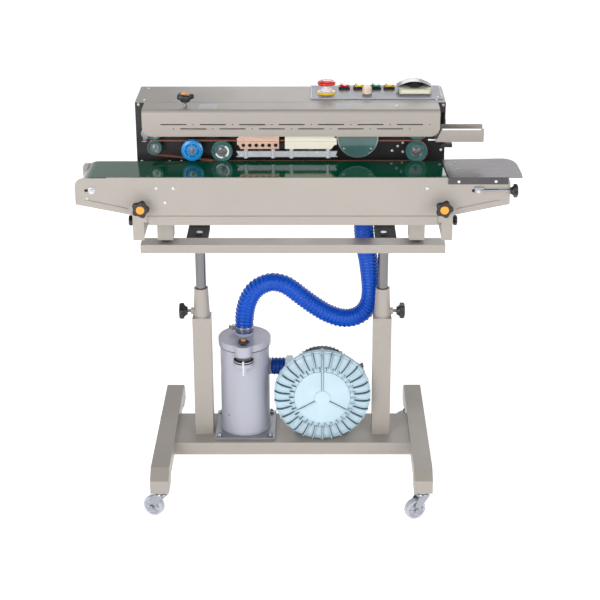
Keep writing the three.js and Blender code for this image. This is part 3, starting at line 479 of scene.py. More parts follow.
class Shape:
    """Closed bodies in machine millimetres that become one object."""

    def __init__(self):
        self.points, self.faces = [], []

    def add(self, points, faces, matrix=None):
        start = len(self.points)
        for p in points:
            self.points.append(matrix @ Vector(p) if matrix else Vector(p))
        self.faces += [[start + i for i in face] for face in faces]
        return self

    def box(self, x0, x1, y0, y1, z0, z1, matrix=None):
        points = [(x, y, z) for z in (z0, z1) for y in (y0, y1) for x in (x0, x1)]
        faces = [(0, 2, 3, 1), (4, 5, 7, 6), (0, 1, 5, 4), (2, 6, 7, 3), (0, 4, 6, 2), (1, 3, 7, 5)]
        return self.add(points, faces, matrix)

    def layers(self, rings, matrix=None):
        """Rings of equal length joined in order, with both ends closed."""
        count = len(rings[0])
        faces = []
        for k in range(len(rings) - 1):
            for i in range(count):
                j = (i + 1) % count
                faces.append((k * count + i, k * count + j, (k + 1) * count + j, (k + 1) * count + i))
        faces.append(tuple(reversed(range(count))))
        faces.append(tuple(range((len(rings) - 1) * count, len(rings) * count)))
        return self.add([p for ring in rings for p in ring], faces, matrix)

    def prism(self, axis, outline, low, high, matrix=None):
        place = {"x": lambda a, b, c: (c, a, b), "y": lambda a, b, c: (a, c, b), "z": lambda a, b,
                 c: (a, b, c)}[axis]
        return self.layers([[place(a, b, c) for a, b in outline] for c in (low, high)], matrix)

    def lathe(self, profile, matrix=None, sides=40):
        """Turns (radius, height) points about Z; a profile off the axis closes on itself as a ring."""
        solid = profile[0][0] == 0 and profile[-1][0] == 0
        inner = profile[1:-1] if solid else profile
        points = [(r * cos(TURN * i / sides), r * sin(TURN * i / sides), h)
                  for r, h in inner for i in range(sides)]
        faces = []
        steps = len(inner) - 1 if solid else len(inner)
        for k in range(steps):
            upper = (k + 1) % len(inner)
            for i in range(sides):
                j = (i + 1) % sides
                faces.append((k * sides + i, k * sides + j, upper * sides + j, upper * sides + i))
        if solid:
            points += [(0, 0, profile[0][1]), (0, 0, profile[-1][1])]
            bottom, top = len(points) - 2, len(points) - 1
            last = (len(inner) - 1) * sides
            for i in range(sides):
                j = (i + 1) % sides
                faces.append((bottom, j, i))
                faces.append((top, last + i, last + j))
        return self.add(points, faces, matrix)

    def solid(self, profile, matrix=None, sides=40):
        """A lathed body closed by flat ends that reach the axis."""
        ends = (0, profile[0][1]), (0, profile[-1][1])
        return self.lathe([ends[0], *profile, ends[1]], matrix, sides)

    def rod(self, axis, at, length, radius, sides=24):
        return self.solid([(radius, 0), (radius, length)], at_axis(axis, at), sides)

    def place(self, name, material):
        mesh = bpy.data.meshes.new(name)
        mesh.from_pydata([(p - ORIGIN) * MM for p in self.points], [], self.faces)
        mesh.materials.append(material)
        obj = bpy.data.objects.new(name, mesh)
        bpy.context.scene.collection.objects.link(obj)
        return obj

    def make(self, name, material, body, edge=0.4, stands_for=(), angle=35.0, slot=None):
        obj = self.place(name, material)
        work = bmesh.new()
        work.from_mesh(obj.data)
        bmesh.ops.recalc_face_normals(work, faces=work.faces)
        work.to_mesh(obj.data)
        work.free()
        soften(obj, edge, angle)
        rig.ride(obj, body)
        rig.slot(obj, slot or SLOTS[material.name])
        if stands_for:
            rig.replaces(obj, *stands_for)
        return obj


def at_axis(axis, at, spin=0.0):
    """Places +Z geometry along an axis at a point, turned about that axis first."""
    return Matrix.Translation(at) @ ALONG[axis] @ turned(spin / 360)


def arc(radius, start, step, count, x=0.0, y=0.0):
    """Points on a circle, from `start` degrees on in steps."""
    angles = [radians(start + step * i) for i in range(count)]
    return [(x + radius * cos(a), y + radius * sin(a)) for a in angles]


def arc_band(first, second, *where):
    """Outline of the band between two radii of one arc."""
    return arc(first, *where) + arc(second, *where)[::-1]


def hexagon(shape, axis, at, across, height, spin=0.0):
    ring = arc(across / sqrt(3), 0, 60, 6)
    inner = [(0.86 * u, 0.86 * v) for u, v in ring]
    rings = [[(u, v, h) for u, v in outline] for outline, h in ((ring, 0), (ring, height * 0.8),
            (inner, height))]
    return shape.layers(rings, at_axis(axis, at, spin))


def hex_bolt(shape, axis, at, across, spin=0.0):
    """Washer, hexagon head and the end of the thread."""
    washer = across * 0.85
    shape.solid([(washer, 0), (washer, 1.0)], at_axis(axis, at), 24)
    lifted = Vector(at) + ALONG[axis] @ Vector((0, 0, 1.0))
    hexagon(shape, axis, lifted, across, across * 0.55, spin)
    return shape.solid([(across * 0.28, 0), (across * 0.28, across * 0.75), (across * 0.2, across * 0.85)],
                       at_axis(axis, lifted), 16)


def pan_screw(shape, axis, at, radius, height=None):
    """Domed screw head with a round recess."""
    rise = height or radius * 0.6
    profile = [(0, 0), (radius, 0), (radius, rise * 0.35), (radius * 0.86, rise * 0.75), (radius * 0.5,
            rise),
               (radius * 0.42, rise), (radius * 0.30, rise * 0.55), (0, rise * 0.5)]
    return shape.lathe(profile, at_axis(axis, at), 20)


def dress(node, material, edge=0.6, chooser=None, others=(), angle=35.0):
    """A CAD node that stays: its materials, welded seams and rounded edges.

    chooser picks one of the materials per face from the face's middle and normal."""
    obj = NODES[node]
    obj.data.materials.clear()
    for one in (material, *others):
        obj.data.materials.append(one)
    for polygon in obj.data.polygons:
        polygon.material_index = chooser(polygon.center / MM + ORIGIN, polygon.normal) if chooser else 0
    weld = obj.modifiers.new("weld", "WELD")
    weld.merge_threshold = 0.00001
    if edge:
        soften(obj, edge, angle)
        flat = obj.modifiers.new("flat_faces", "WEIGHTED_NORMAL")
        flat.keep_sharp = True
    else:
        obj.data.shade_smooth()
        corners = obj.modifiers.new("corners", "EDGE_SPLIT")
        corners.split_angle = radians(angle)
    return obj


# ------------------------ hoses
HOSE_ROUTE = [
    (-117.5, 96, 370.4), (-117.3, 96, 392), (-114.5, 96, 425), (-106, 96, 455), (-91, 96.5, 479),
    (-70, 96.5, 494), (-47, 97, 500), (-20, 97, 494.5), (0, 97, 482), (18, 97, 467), (51, 97, 441),
    (85, 97, 419), (118, 98, 406.5), (146, 99, 406.5), (169, 101, 417), (185, 103, 437),
    (191, 103, 463), (191, 100, 492), (188, 95, 524), (184, 88, 556), (178, 80, 590),
    (173, 73, 620), (170.5, 67, 655), (170, 62, 700), (170, 60, 745), (170, 60, 790), (170, 60, 813),
]
LINK_Y, LINK_Z = 93, 278
LINK_ROUTE = [(x, LINK_Y, LINK_Z) for x in (-52.2, -34, -15.5)]
HOSE_RADIUS = 22.0
RIB_PITCH = 9.0


def smooth_route(route, step):
    """Points a fixed step apart on a centripetal curve through the route."""
    knots = [Vector(p) for p in route]
    knots = [2 * knots[0] - knots[1], *knots, 2 * knots[-1] - knots[-2]]
    dense = []
    for k in range(1, len(knots) - 2):
        p0, p1, p2, p3 = knots[k - 1:k + 3]
        d0, d1, d2 = [sqrt((b - a).length) for a, b in ((p0, p1), (p1, p2), (p2, p3))]
        t1 = ((p1 - p0) / d0 - (p2 - p0) / (d0 + d1) + (p2 - p1) / d1) * d1
        t2 = ((p2 - p1) / d1 - (p3 - p1) / (d1 + d2) + (p3 - p2) / d2) * d1
        for i in range(60):
            t = i / 60
            dense.append((2 * t ** 3 - 3 * t ** 2 + 1) * p1 + (t ** 3 - 2 * t ** 2 + t) * t1
                         + (3 * t ** 2 - 2 * t ** 3) * p2 + (t ** 3 - t ** 2) * t2)
    dense.append(knots[-2])
    lengths = [0.0]
    for a, b in zip(dense, dense[1:]):
        lengths.append(lengths[-1] + (b - a).length)
    count = max(2, round(lengths[-1] / step))
    result, k = [], 0
    for i in range(count + 1):
        target = lengths[-1] * i / count
        while k < len(dense) - 2 and lengths[k + 1] < target:
            k += 1
        part = (target - lengths[k]) / max(1e-9, lengths[k + 1] - lengths[k])
        result.append(dense[k].lerp(dense[k + 1], min(1.0, part)))
    return result, lengths[-1]


def ribbed_hose(name, route, material, sides=40, per_rib=8):
    """A helically ribbed tube round the route, closed at both ends."""
    centre, length = smooth_route(route, RIB_PITCH / per_rib)
    up = Vector((0, 1, 0))
    rings = []
    for i, p in enumerate(centre):
        ahead = centre[min(i + 1, len(centre) - 1)] - centre[max(i - 1, 0)]
        ahead.normalize()
        up = (up - up.dot(ahead) * ahead).normalized()
        across = ahead.cross(up)
        travelled = length * i / (len(centre) - 1)
        ring = []
        for j in range(sides):
            angle = TURN * j / sides
            phase = (travelled / RIB_PITCH + j / sides) % 1.0
            crest = max(0.0, cos(TURN * (phase - 0.5)) * 0.5 + 0.5) ** 1.6
            swell = min(1.0, max(0.0, min(travelled - 20, length - travelled - 20) / 12))
            radius = HOSE_RADIUS - 2.1 + 2.2 * crest + 1.5 * swell
            ring.append(p + (up * cos(angle) + across * sin(angle)) * radius)
        rings.append(ring)
    obj = Shape().layers(rings).place(name, material)
    soften(obj, 0, 60)
    line, _ = smooth_route(route, 6.0)
    return obj, [list((p - ORIGIN) * MM) for p in line], length * MM


hose, hose_line, hose_length = ribbed_hose("main_hose", HOSE_ROUTE, HOSE_BLUE)
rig.blend(hose, "stand", "head", start=point(60, 96, 430), end=point(170, 60, 813))
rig.replaces(hose, "hose_main")
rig.slot(hose, "hose_blue")
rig.cord(hose, exit=hose_line[0], length=hose_length, diameter=2 * HOSE_RADIUS * MM, far_end="object",
        stiffness="stiff", lay="hanging", path=hose_line)

# The link hose takes the darker blue: painted shade.
link_hose, _, _ = ribbed_hose("link_hose", LINK_ROUTE, PAINTED_SHADE_HOSE)
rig.ride(link_hose, "stand")
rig.replaces(link_hose, "hose_link")
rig.slot(link_hose, "hose_blue")


# ------------------------ knobs
def star_knob(name, body, axis, base, radius, thickness, stem_radius, grip_at, cap=True):
    """Five-lobed hand knob on a threaded stem; the grip starts `grip_at` from the base."""
    place = at_axis(axis, base)
    sides = 80

    def ring(height, scale, lobe=0.10):
        points = []
        for i in range(sides):
            angle = TURN * i / sides
            reach = radius * scale * (1 - lobe + lobe * cos(5 * angle))
            points.append((reach * cos(angle), reach * sin(angle), height))
        return points

    top = grip_at + thickness
    rings = [ring(grip_at, 0.62, 0.02), ring(grip_at + 0.2 * thickness, 0.70, 0.04),
             ring(grip_at + 0.24 * thickness, 0.93), ring(grip_at + 0.36 * thickness, 1.0),
             ring(grip_at + 0.78 * thickness, 1.0), ring(grip_at + 0.9 * thickness, 0.95),
             ring(top - 0.2, 0.84), ring(top, 0.72, 0.06)]
    (Shape().layers(rings, place)
     .solid([(radius * 0.5, grip_at - 4), (radius * 0.56, grip_at + 1)], place, 32)
     .make(name + "_grip", BLACK_PLASTIC, body, 0.3, (body,), 50.0))
    if cap:
        reach = radius * 0.46
        Shape().lathe([(0, top - 2), (reach, top - 2), (reach, top + 0.6), (reach * 0.9, top + 1.3),
                       (reach * 0.72, top + 1.5), (reach * 0.62, top + 1.1), (0, top + 0.9)], place, 36
                      ).make(name + "_cap", ORANGE, body, 0.15)
    profile = [(0, 0)]
    pitch = 1.5
    count = max(2, int((grip_at - 4) / pitch))
    for k in range(count):
        profile += [(stem_radius - 0.35, k * pitch + 0.05), (stem_radius, k * pitch + 0.75)]
    profile += [(stem_radius - 0.3, count * pitch), (stem_radius - 0.3, grip_at - 3), (0, grip_at - 3)]
    Shape().lathe(profile, place, 20).make(name + "_stem", ZINC, body, 0)


POST_X, POST_Y = 217.5, 60
CX, CY, CR = -116.5, 78, 60
KNOB_Y = 16
for side_name, side in (("left", -1), ("right", 1)):
    towards = "-x" if side < 0 else "+x"
    star_knob("clamp_" + side_name, "clamp_knob_" + side_name, towards,
              (side * (POST_X + 13.5), POST_Y, 441), 20, 16, 4, 24.5, cap=False)
    star_knob("height_" + side_name, "height_knob_" + side_name, "-y",
              (6 + side * 331, -147, 786), 20, 16, 4, 25.5)
    star_knob("side_" + side_name, "side_knob_" + side_name, towards,
              (6 + side * (331.5 + 0.3), -100, 731), 12, 11, 3.5, 25, cap=False)
star_knob("press", "press_knob", "+z", (-232.4, -42, 956.7), 20, 14, 4.2, 37)
star_knob("lid", "lid_knob", "+z", (CX, KNOB_Y, 361), 14, 9, 3.3, 12.5)
star_knob("tension", "tension_knob", "+x", (416, -159, 821), 15.5, 12, 2.5, 70, cap=False)

# ------------------------ stand
for node in ("stand_base", "post_left", "post_right"):
    dress(node, BEIGE, 0.8)
dress("rod_left", CHROME, 0.3)
dress("rod_right", CHROME, 0.3)
CROSS_TOP = 119

welds = Shape()
for side in (-1, 1):
    x = side * POST_X
    corners = [Vector((x + u, POST_Y + v, CROSS_TOP)) for u, v in ((-22, -22), (22, -22), (22, 22),
            (-22, 22))]
    for start, end in zip(corners, corners[1:] + corners[:1]):
        beads = 18
        rings = []
        direction = (end - start).normalized()
        out = direction.cross(Vector((0, 0, 1)))
        for k in range(beads * 4 + 1):
            p = start.lerp(end, k / (beads * 4))
            size = 1.5 + 0.35 * cos(TURN * k / 4)
            rings.append([p + out * u + Vector((0, 0, v)) for u, v in arc(size, 0, 36, 10)])
        welds.layers(rings)
    for y in (-8, 147):
        for k in range(9):
            p = (side * 288, y + (2 if y < 0 else -2), 90 + 3.2 * k)
            welds.lathe([(0, -1.6), (1.5, -0.8), (1.7, 0.4), (0, 1.6)], Matrix.Translation(p), 10)
welds.make("stand_weld_beads", BEIGE, "stand", 0, angle=60.0)

collars = Shape()
for side in (-1, 1):
    x = side * POST_X
    collars.lathe([(13.1, 499), (17.4, 499), (17.6, 500.4), (17.2, 501.6), (13.1, 501.6)],
                  moved(x, POST_Y, 0), 40)
    collars.lathe([(20.6, 427.2), (21.9, 427.2), (21.4, 430.5), (20.6, 431)], moved(x, POST_Y, 0), 40)
    hexagon(collars, "-x" if side < 0 else "+x", (x + side * 21, POST_Y, 441), 15, 5, 30)
collars.make("collar_rims", BEIGE, "stand", 0.3)

for corner, side, y, heading in (("front_left", -1, -150, 155), ("front_right", 1, -150, 205),
                                 ("rear_left", -1, 294.5, 170), ("rear_right", 1, 294.5, 188)):
    place = moved(side * 310, y, 0) @ turned(heading / 360)
    fork = Shape()
    fork.solid([(15, 57.5), (17, 59), (17, 62), (15.5, 64.5), (13.5, 66), (13.2, 70), (16, 71.4),
                (16, 73.7)], place, 40)
    cheek = [(-13, 61), (-13.5, 57), (-9, 52), (12, 27), (12.4, 20), (16, 16.6), (20, 15.6), (24, 16.6),
             (27.6, 20), (28, 28), (22, 46), (15, 57), (14, 61)]
    for y0 in (-12, 10):
        fork.prism("y", cheek, y0, y0 + 2, place)
    fork.box(-12, 14, -12, 12, 57, 60, place)
    fork.make("castor_fork_zinc_" + corner, ZINC, "castor_fork_" + corner, 0.5, ("castor_fork_" + corner,))
    axle = Shape()
    hexagon(axle, "-y", (20, -12, 25), 10, 4)
    hexagon(axle, "+y", (20, 12, 25), 10, 4)
    axle.rod("+y", (20, -12.5, 25), 25, 3.0, 20)
    axle.solid([(6.6, 0), (6.6, 1)], at_axis("-y", (20, -11.6, 25)), 24)
    axle.points = [place @ p for p in axle.points]
    axle.make("castor_axle_" + corner, STEEL, "castor_fork_" + corner, 0.3)
    wheel_place = place @ moved(20, 0, 25) @ ALONG["+y"]
    half_tyre = [(3.4, 8.6), (8, 8.6), (8.5, 7), (12, 5), (17, 5), (18.6, 7.6), (20, 8.8), (23, 8.8),
                 (24.6, 7.2), (25, 5)]
    Shape().lathe([(r, -h) for r, h in half_tyre] + half_tyre[::-1], wheel_place, 64
                  ).make("castor_tyre_" + corner, NYLON, "castor_wheel_" + corner, 0.25,
                         ("castor_wheel_" + corner,), 50.0)
    ribs = Shape()
    for k in range(6):
        ribs.box(7.5, 18, -0.9, 0.9, -7.2, 7.2, wheel_place @ turned(k / 6))
    ribs.make("castor_spokes_" + corner, NYLON, "castor_wheel_" + corner, 0.3)

# ------------------------ filter canister
centre = moved(CX, CY, 0)
Shape().solid([(62.5, 125.6), (62.5, 128.4), (60.6, 129.6), (60, 131), (60, 299), (60.35, 300.2),
               (60, 301.4), (60, 350), (61.2, 351.5), (61.2, 354.5), (60, 356)], centre, 96
              ).make("canister_shell", LAVENDER, "stand", 0.2, ("filter_canister",), 40.0)
outlet = at_axis("+x", (CX + CR - 1.2, LINK_Y, LINK_Z))
(Shape().box(CX - 0.7, CX + 0.7, CY + CR - 0.5, CY + CR + 0.7, 132, 350)
 .lathe([(16.5, 0), (21, 0), (21, 3.5), (19.5, 4.4), (16.5, 4.4)], outlet, 36)
 .make("canister_seam_and_outlet", LAVENDER, "stand", 0.3))
(Shape().box(CX - 74, CX + 74, CY - 74, CY + 74, 119.3, 125.5)
 .make("canister_base_plate", BASE_ZINC, "stand", 0.8))
bolts = Shape()
for dx in (-62, 62):
    for dy in (-62, 62):
        hex_bolt(bolts, "+z", (CX + dx, CY + dy, 125.5), 11, dx + dy)
bolts.make("canister_base_bolts", STEEL, "stand", 0.25)
pan_screw(Shape(), "-y", (CX - 39, CY - 45.6, 173.6), 2.8, 2.4).make("canister_low_screw", STEEL, "stand",
        0.1)

Shape().solid([(62.6, 358.4), (63.6, 357), (63.6, 350.4), (62, 350.4), (62, 349.6), (64, 349.6),
               (64, 364.6), (63, 366.4), (60, 366.6)], centre, 96
              ).make("lid_disc", LAVENDER, "stand", 0.3, ("filter_lid",), 40.0)
Shape().lathe([(61.3, 347.4), (63.1, 347.4), (63.5, 348.5), (63.1, 349.6), (61.3, 349.6)], centre, 72
              ).make("lid_gasket", BLACK_RUBBER_AND_SHADE, "stand", 0.2, slot="lavender_paint")
(Shape()
 .lathe([(17, 366), (24.5, 366), (24.5, 368), (22, 369.4), (22, 371), (17, 371)], moved(CX - 1, CY + 18, 0),
        48)
 .make("lid_spigot", LAVENDER, "stand", 0.3))

LID_ARC = (180, 10, 19, CX, KNOB_Y)


def half_band(shape, outer, inner, z0, z1):
    """Front half of a ring round the lid knob; no inner radius makes it a solid half disc."""
    outline = arc(outer, *LID_ARC)
    outline += arc(inner, *LID_ARC)[::-1] if inner else [(CX + outer, KNOB_Y + 6), (CX - outer, KNOB_Y + 6)]
    return shape.prism("z", outline, z0, z1)


clasp = half_band(Shape(), 20.5, 0, 366.6, 371)
half_band(clasp, 20.5, 18.6, 344, 366.8)
clasp.box(CX - 20.5, CX + 20.5, 16, 34, 366.6, 369.4)
clasp.make("lid_clasp", LAVENDER, "stand", 0.5, angle=40.0)
hook = half_band(Shape(), 25, 0, 318, 325)
half_band(hook, 25, 23, 324.8, 327.5)
hook.box(CX - 9, CX + 9, 9, 18.6, 300, 319)
hook.make("canister_hook_bracket", LAVENDER, "stand", 0.5, angle=40.0)
# Near-black band in the hook's slot: painted shade.
half_band(Shape(), 24, 19, 327.6, 336).make("canister_hook_slot_painted_shade", BLACK_AND_PAINTED_SHADE, "stand", 0.3, angle=40.0,
                                            slot="black_plastic")
# The steel strap takes the light polished colour: painted highlight.
strap = half_band(Shape(), 24.4, 23.6, 331, 332.6)
strap.box(CX - 2, CX + 2, -9.6, -7.4, 300, 338)
pan_screw(strap, "-y", (CX, 9, 308), 3.6, 2.2)
strap.make("canister_hook_steel", BRIGHT_PAINTED_HIGHLIGHT, "stand", 0.3)

clamp_ring = Shape()
hose_foot = moved(-117.4, 96, 0)
clamp_ring.lathe([(21.4, 375.2), (22.9, 375.2), (23.1, 376), (23.1, 386.6), (22.9, 387.4), (21.4, 387.4)],
                 hose_foot, 60)
for k in range(26):
    clamp_ring.box(22.9, 23.5, -0.35, 0.35, 377.5, 385.2, hose_foot @ turned((200 + 5 * k) / 360))
clamp_ring.box(-149, -139, 92, 104, 376, 387)
clamp_ring.rod("-x", (-140, 98, 381.4), 14, 3.8, 20)
hexagon(clamp_ring, "-x", (-152, 98, 381.4), 8, 3.5)
clamp_ring.make("hose_clamp_band", ZINC, "stand", 0.25)

# ------------------------ ring blower
BX, BY, BZ = 73, -8, 238
BOLT_CIRCLE = 111.4
face = at_axis("+y", (BX, BY, BZ))
Shape().solid([(15, 2.4), (18.6, 3.4), (19.4, 5.4), (21, 5.8), (66, 6.6), (68, 8), (68, 20)], face, 120
              ).make("blower_front_cover", ICE, "stand", 0.3, ("blower_housing",), 40.0)
Shape().lathe([(68.4, 9.4), (98, 10.4), (108, 13.4), (113, 17.4), (113, 26), (68.4, 26)], face, 120
              ).make("blower_fin_bed", ICE, "stand", 0.3, angle=40.0)
Shape().lathe([(112, 20), (115, 18.6), (117.2, 20), (117.2, 27), (112, 27)], face, 120
              ).make("blower_rim", ICE, "stand", 0.3, angle=40.0)
Shape().solid([(117.6, 27.3), (117.6, 31), (114, 36), (106, 46), (100, 49), (70, 52)], face, 120
              ).make("blower_rear_shell", ICE, "stand", 0.4, angle=40.0)
fins = Shape()
FIN_COUNT = 30
SPOKES = (-90, 30, 150)
fin = [(77, 8), (78, 2.6), (88, 1.0), (103, 1.4), (111, 6.0), (117.6, 13), (118, 24), (112, 24), (98, 14)]
inner_fin = [(69.6, 7.5), (70.6, 4.2), (76, 2.4), (80, 2.6), (81, 8.5)]
rear_fin = [(92, 46), (103, 33), (117.6, 30), (118, 38), (110, 48), (102, 51.6), (94, 51.6)]
for k in range(FIN_COUNT):
    spin = face @ turned((k + 0.5) / FIN_COUNT)
    fins.prism("y", fin, -0.9, 0.9, spin)
    if k % 2 == 0:
        fins.prism("y", rear_fin, -1.0, 1.0, spin)
    fins.prism("y", inner_fin, -0.8, 0.8, spin @ turned(0.5 / FIN_COUNT))
for angle in SPOKES:
    fins.prism("y", [(18.5, 6.4), (19.5, 2.2), (72, 2.8), (77, 3.0), (78, 7)], -1.3, 1.3,
               face @ turned(angle / 360))
fins.make("blower_cooling_fins", ICE, "stand", 0.35)
# Thin strips of the darker ice blue on both sides of each fin and spoke, just under their tops: painted shadow lines
# along the fins.
fin_shadow_strips = Shape()
fin_shadow_outline = [(78, 9), (79, 5.6), (89, 4.2), (103, 4.6), (111, 9.0), (116.4, 16), (116.4, 22), (98, 14)]
inner_fin_shadow_outline = [(69.0, 8), (70.4, 4.6), (76, 3.0), (80, 3.4), (81, 8.5)]
for k in range(FIN_COUNT):
    for offset in (-1.5, 1.5):
        fin_shadow_strips.prism("y", fin_shadow_outline, offset - 0.45, offset + 0.45, face @ turned((k + 0.5) / FIN_COUNT))
    fin_shadow_strips.prism("y", inner_fin_shadow_outline, 0.9, 1.9, face @ turned((k + 1) / FIN_COUNT))
for angle in SPOKES:
    spin = face @ turned(angle / 360)
    for offset in (-1.9, 1.9):
        fin_shadow_strips.prism("y", [(19.5, 6.6), (20.5, 4.2), (66, 4.8), (67, 7)], offset - 0.5, offset + 0.5, spin)
fin_shadow_strips.make("blower_fin_painted_shadows", ICE_PAINTED_SHADOW, "stand", 0)
rim_bolts, bosses = Shape(), Shape()
for x, z in arc(BOLT_CIRCLE, 90, 60, 6, BX, BZ):
    rim_bolts.solid([(4.4, 0), (4.4, 3.4), (3.6, 4.2), (2.2, 4.2), (2.0, 2.8)],
                    at_axis("-y", (x, BY + 14.6, z)), 20)
    bosses.solid([(7.4, 0), (6.4, 20), (5.6, 21)], at_axis("-y", (x, BY + 34, z)), 24)
rim_bolts.make("blower_rim_bolts", STEEL, "stand", 0.15)
bosses.box(BX - 89, BX - 72, BY + 38, 113, 257, 298)
bosses.lathe([(17, -2), (21.5, -2), (21.5, 3), (17, 3)], at_axis("-x", (BX - 88, LINK_Y, LINK_Z)), 36)
bosses.make("blower_bosses_and_neck", ICE, "stand", 1.0)

rear = BY + 53
motor = Shape()
motor_axis = at_axis("+y", (BX, 0, BZ))
motor.solid([(74, rear), (76, rear + 2), (76, rear + 88), (72, rear + 91)], motor_axis, 72)
for k in range(48):
    motor.box(74, 80, -0.9, 0.9, rear + 5, rear + 86, motor_axis @ turned(k / 48))
motor.lathe([(0, rear + 88), (68, rear + 88), (68, rear + 93), (62, rear + 102), (50, rear + 107.6),
             (0, rear + 107.8)], motor_axis, 64)
motor.make("motor_shell", MOTOR_BLACK, "stand", 0.4, ("blower_motor",), 40.0)
# Near-black rings on the motor's end cap stand for its vent openings: painted shade.
vent_shade_rings = Shape()
for r in (18, 27, 36, 45):
    vent_shade_rings.lathe([(r, rear + 106.6), (r + 3, rear + 106.6), (r + 3, rear + 108), (r, rear + 108)],
                motor_axis, 48)
vent_shade_rings.make("motor_vent_painted_shade_rings", BLACK_AND_PAINTED_SHADE, "stand", 0.2, slot="motor_black")
mount_feet = Shape()
for side in (-1, 1):
    x = BX + side * 55
    mount_feet.box(x - 12, x + 12, rear + 12, rear + 68, 119.4, 126)
    mount_feet.prism("x", [(rear + 22, 124), (rear + 58, 124), (rear + 62, 190), (rear + 18, 190)], x - 5,
                     x + 5)
mount_feet.box(BX + 72, BX + 98, rear + 18, rear + 74, BZ - 34, BZ + 34)
mount_feet.box(BX + 96, BX + 102, rear + 16, rear + 76, BZ - 36, BZ + 36)
mount_feet.solid([(8, 0), (8, 9), (5.5, 12)], at_axis("-z", (BX + 86, rear + 46, BZ - 33)), 24)
mount_feet.make("motor_feet_and_terminal_box", MOTOR_BLACK, "stand", 1.0)
motor_bolts = Shape()
for side in (-1, 1):
    for y in (rear + 20, rear + 60):
        hex_bolt(motor_bolts, "+z", (BX + side * 62, y, 126), 9, 10 * y)
for dx in (-30, 30):
    for dy in (24, 68):
        pan_screw(motor_bolts, "+x", (BX + 102, rear + dy, BZ + dx), 2.6)
motor_bolts.make("motor_bolts", ZINC, "stand", 0.2)
dress("blower_impeller", CAST_ALLOY, 0.4)

# ------------------------ lifting frame and legs
def frame_part(c, n):
    """0 painted beam, 1 rod bolt, 2 cross arm, in the black rubber colour as painted shade under the housing."""
    if not 12.2 < c.y < 127.8:
        return 0
    return 1 if c.z > 638 else 2


# The cross arms take the black rubber colour: painted shade under the housing.
dress("top_frame", BEIGE, 0.9, frame_part, (ZINC, BLACK_RUBBER_AND_SHADE))
dress("leg_frame", BEIGE, 0.7, lambda c, n: 1 if c.z < 653.5 and 270 < abs(c.x) < 310 else 0, (BLACK_RUBBER_AND_SHADE,))
leg_bolts = Shape()
for side in (-1, 1):
    for z in (676, 795):
        hex_bolt(leg_bolts, "+y", (side * 290, 150, z), 9, z)
leg_bolts.make("leg_bolts", ZINC, "head", 0.25)
frame_caps = Shape()
for x in (-347.2, 356.2):
    lo_x, hi_x = (x, x + 1.6) if x < 0 else (x - 1.6, x)
    frame_caps.box(lo_x, hi_x, -31.6, 9.6, 628, 644.2)
    frame_caps.box(lo_x, hi_x, 130.4, 171.6, 638.4, 644.2)
frame_caps.make("beam_end_plugs", BLACK_PLASTIC, "head", 0.4)

# ------------------------ housing, front plate and guard
BOX_TOP, BOX_HALF, BOX_BACK, GUARD_FRONT = 976.7, 349.5, 136.5, -66
CONSOLE_TOP = BOX_TOP + 3.3
dress("housing", BEIGE, 0, lambda c, n: 1 if c.z < 827 and n.z < 0.9 else 0, (BLACK_PLASTIC,))


def plate_part(c, n):
    """0 black plate, 1 half-moon cover, 2 its stand-offs."""
    if c.y < -32.5:
        return 1
    return 2 if c.y < -0.5 else 0


dress("front_plate", BLACK_PAINT, 0.3, plate_part, (NIP_COVER, STEEL))
dress("guard", BEIGE, 0.5)

# The screw heads take the light polished colour: painted highlight.
plate_screws = Shape()
for x, z in ((-341.4, 971.5), (343.3, 970.3), (-339, 838), (-276, 837.5), (-249, 838.3), (341, 865.3),
             (254.5, 882.1), (254.9, 860.5), (243.2, 873.7), (230.7, 862.9), (341.8, 938), (60, 838),
             (-60, 838), (200, 838)):
    pan_screw(plate_screws, "-y", (x, 0, z), 3.2, 2.0)
plate_screws.make("plate_screws", BRIGHT_PAINTED_HIGHLIGHT, "head", 0.1)
(Shape().rod("+z", (345.4, -2.6, 908), 44, 3.6, 24)
 .rod("+z", (345.4, -2.6, 922), 16, 4.6, 24)
 .box(331, 346, -2.4, 0.2, 910, 950)
 .make("plate_hinge", BLACK_PLASTIC, "head", 0.4, slot="black_plate"))
(Shape().solid([(12.5, 0), (12.5, 1.6), (11.5, 2.4), (4, 2.4), (4, 5)], at_axis("-y", (-326, 0, 903.7)), 40)
 .box(-331, -321, -52, 0, 899.5, 901.5)
 .make("idler_bracket", STEEL, "head", 0.4))

lips = Shape()
PITCH, SLOT_LENGTH = 87.2, 57.5
for i in range(7):
    for x0, z, wanted in ((-286.8, 943.7, 7), (-243.4, 933.9, 6)):
        if i < wanted:
            left = x0 + PITCH * i
            outline = [(GUARD_FRONT - u, z + v) for u, v in ((0, 1.1), (0.5, 1.3), (0.5, 1.9), (0, 2.5))]
            lips.prism("x", outline, left, left + SLOT_LENGTH)
lips.make("louvre_lips", BEIGE, "head", 0)
# Near-black discs where the guard is punched: painted shade in the holes.
punched_hole_shades = Shape()
for i in range(7):
    for x, z in ((-286.8 + SLOT_LENGTH + 14.9 + PITCH * i, 943.7), (-243.4 - 14.9 + PITCH * i, 933.9)):
        punched_hole_shades.rod("-y", (x, GUARD_FRONT + 0.3, z), 0.36, 1.3, 16)
punched_hole_shades.make("guard_hole_painted_shade", BLACK_AND_PAINTED_SHADE, "head", 0)
# A near-black sheet behind the louvre slots: painted shade inside the guard.
(Shape().box(-322, 326, GUARD_FRONT + 4.5, GUARD_FRONT + 5.5, 926, 952)
 .make("louvre_painted_shade", BLACK_AND_PAINTED_SHADE, "head", 0.2))

labels = Shape()
for x0, x1 in ((-203, -163), (102, 135)):
    labels.box(x0, x1, -52, -14, BOX_TOP, BOX_TOP + 0.25)
labels.make("blank_labels", LABEL, "head", 0.05)
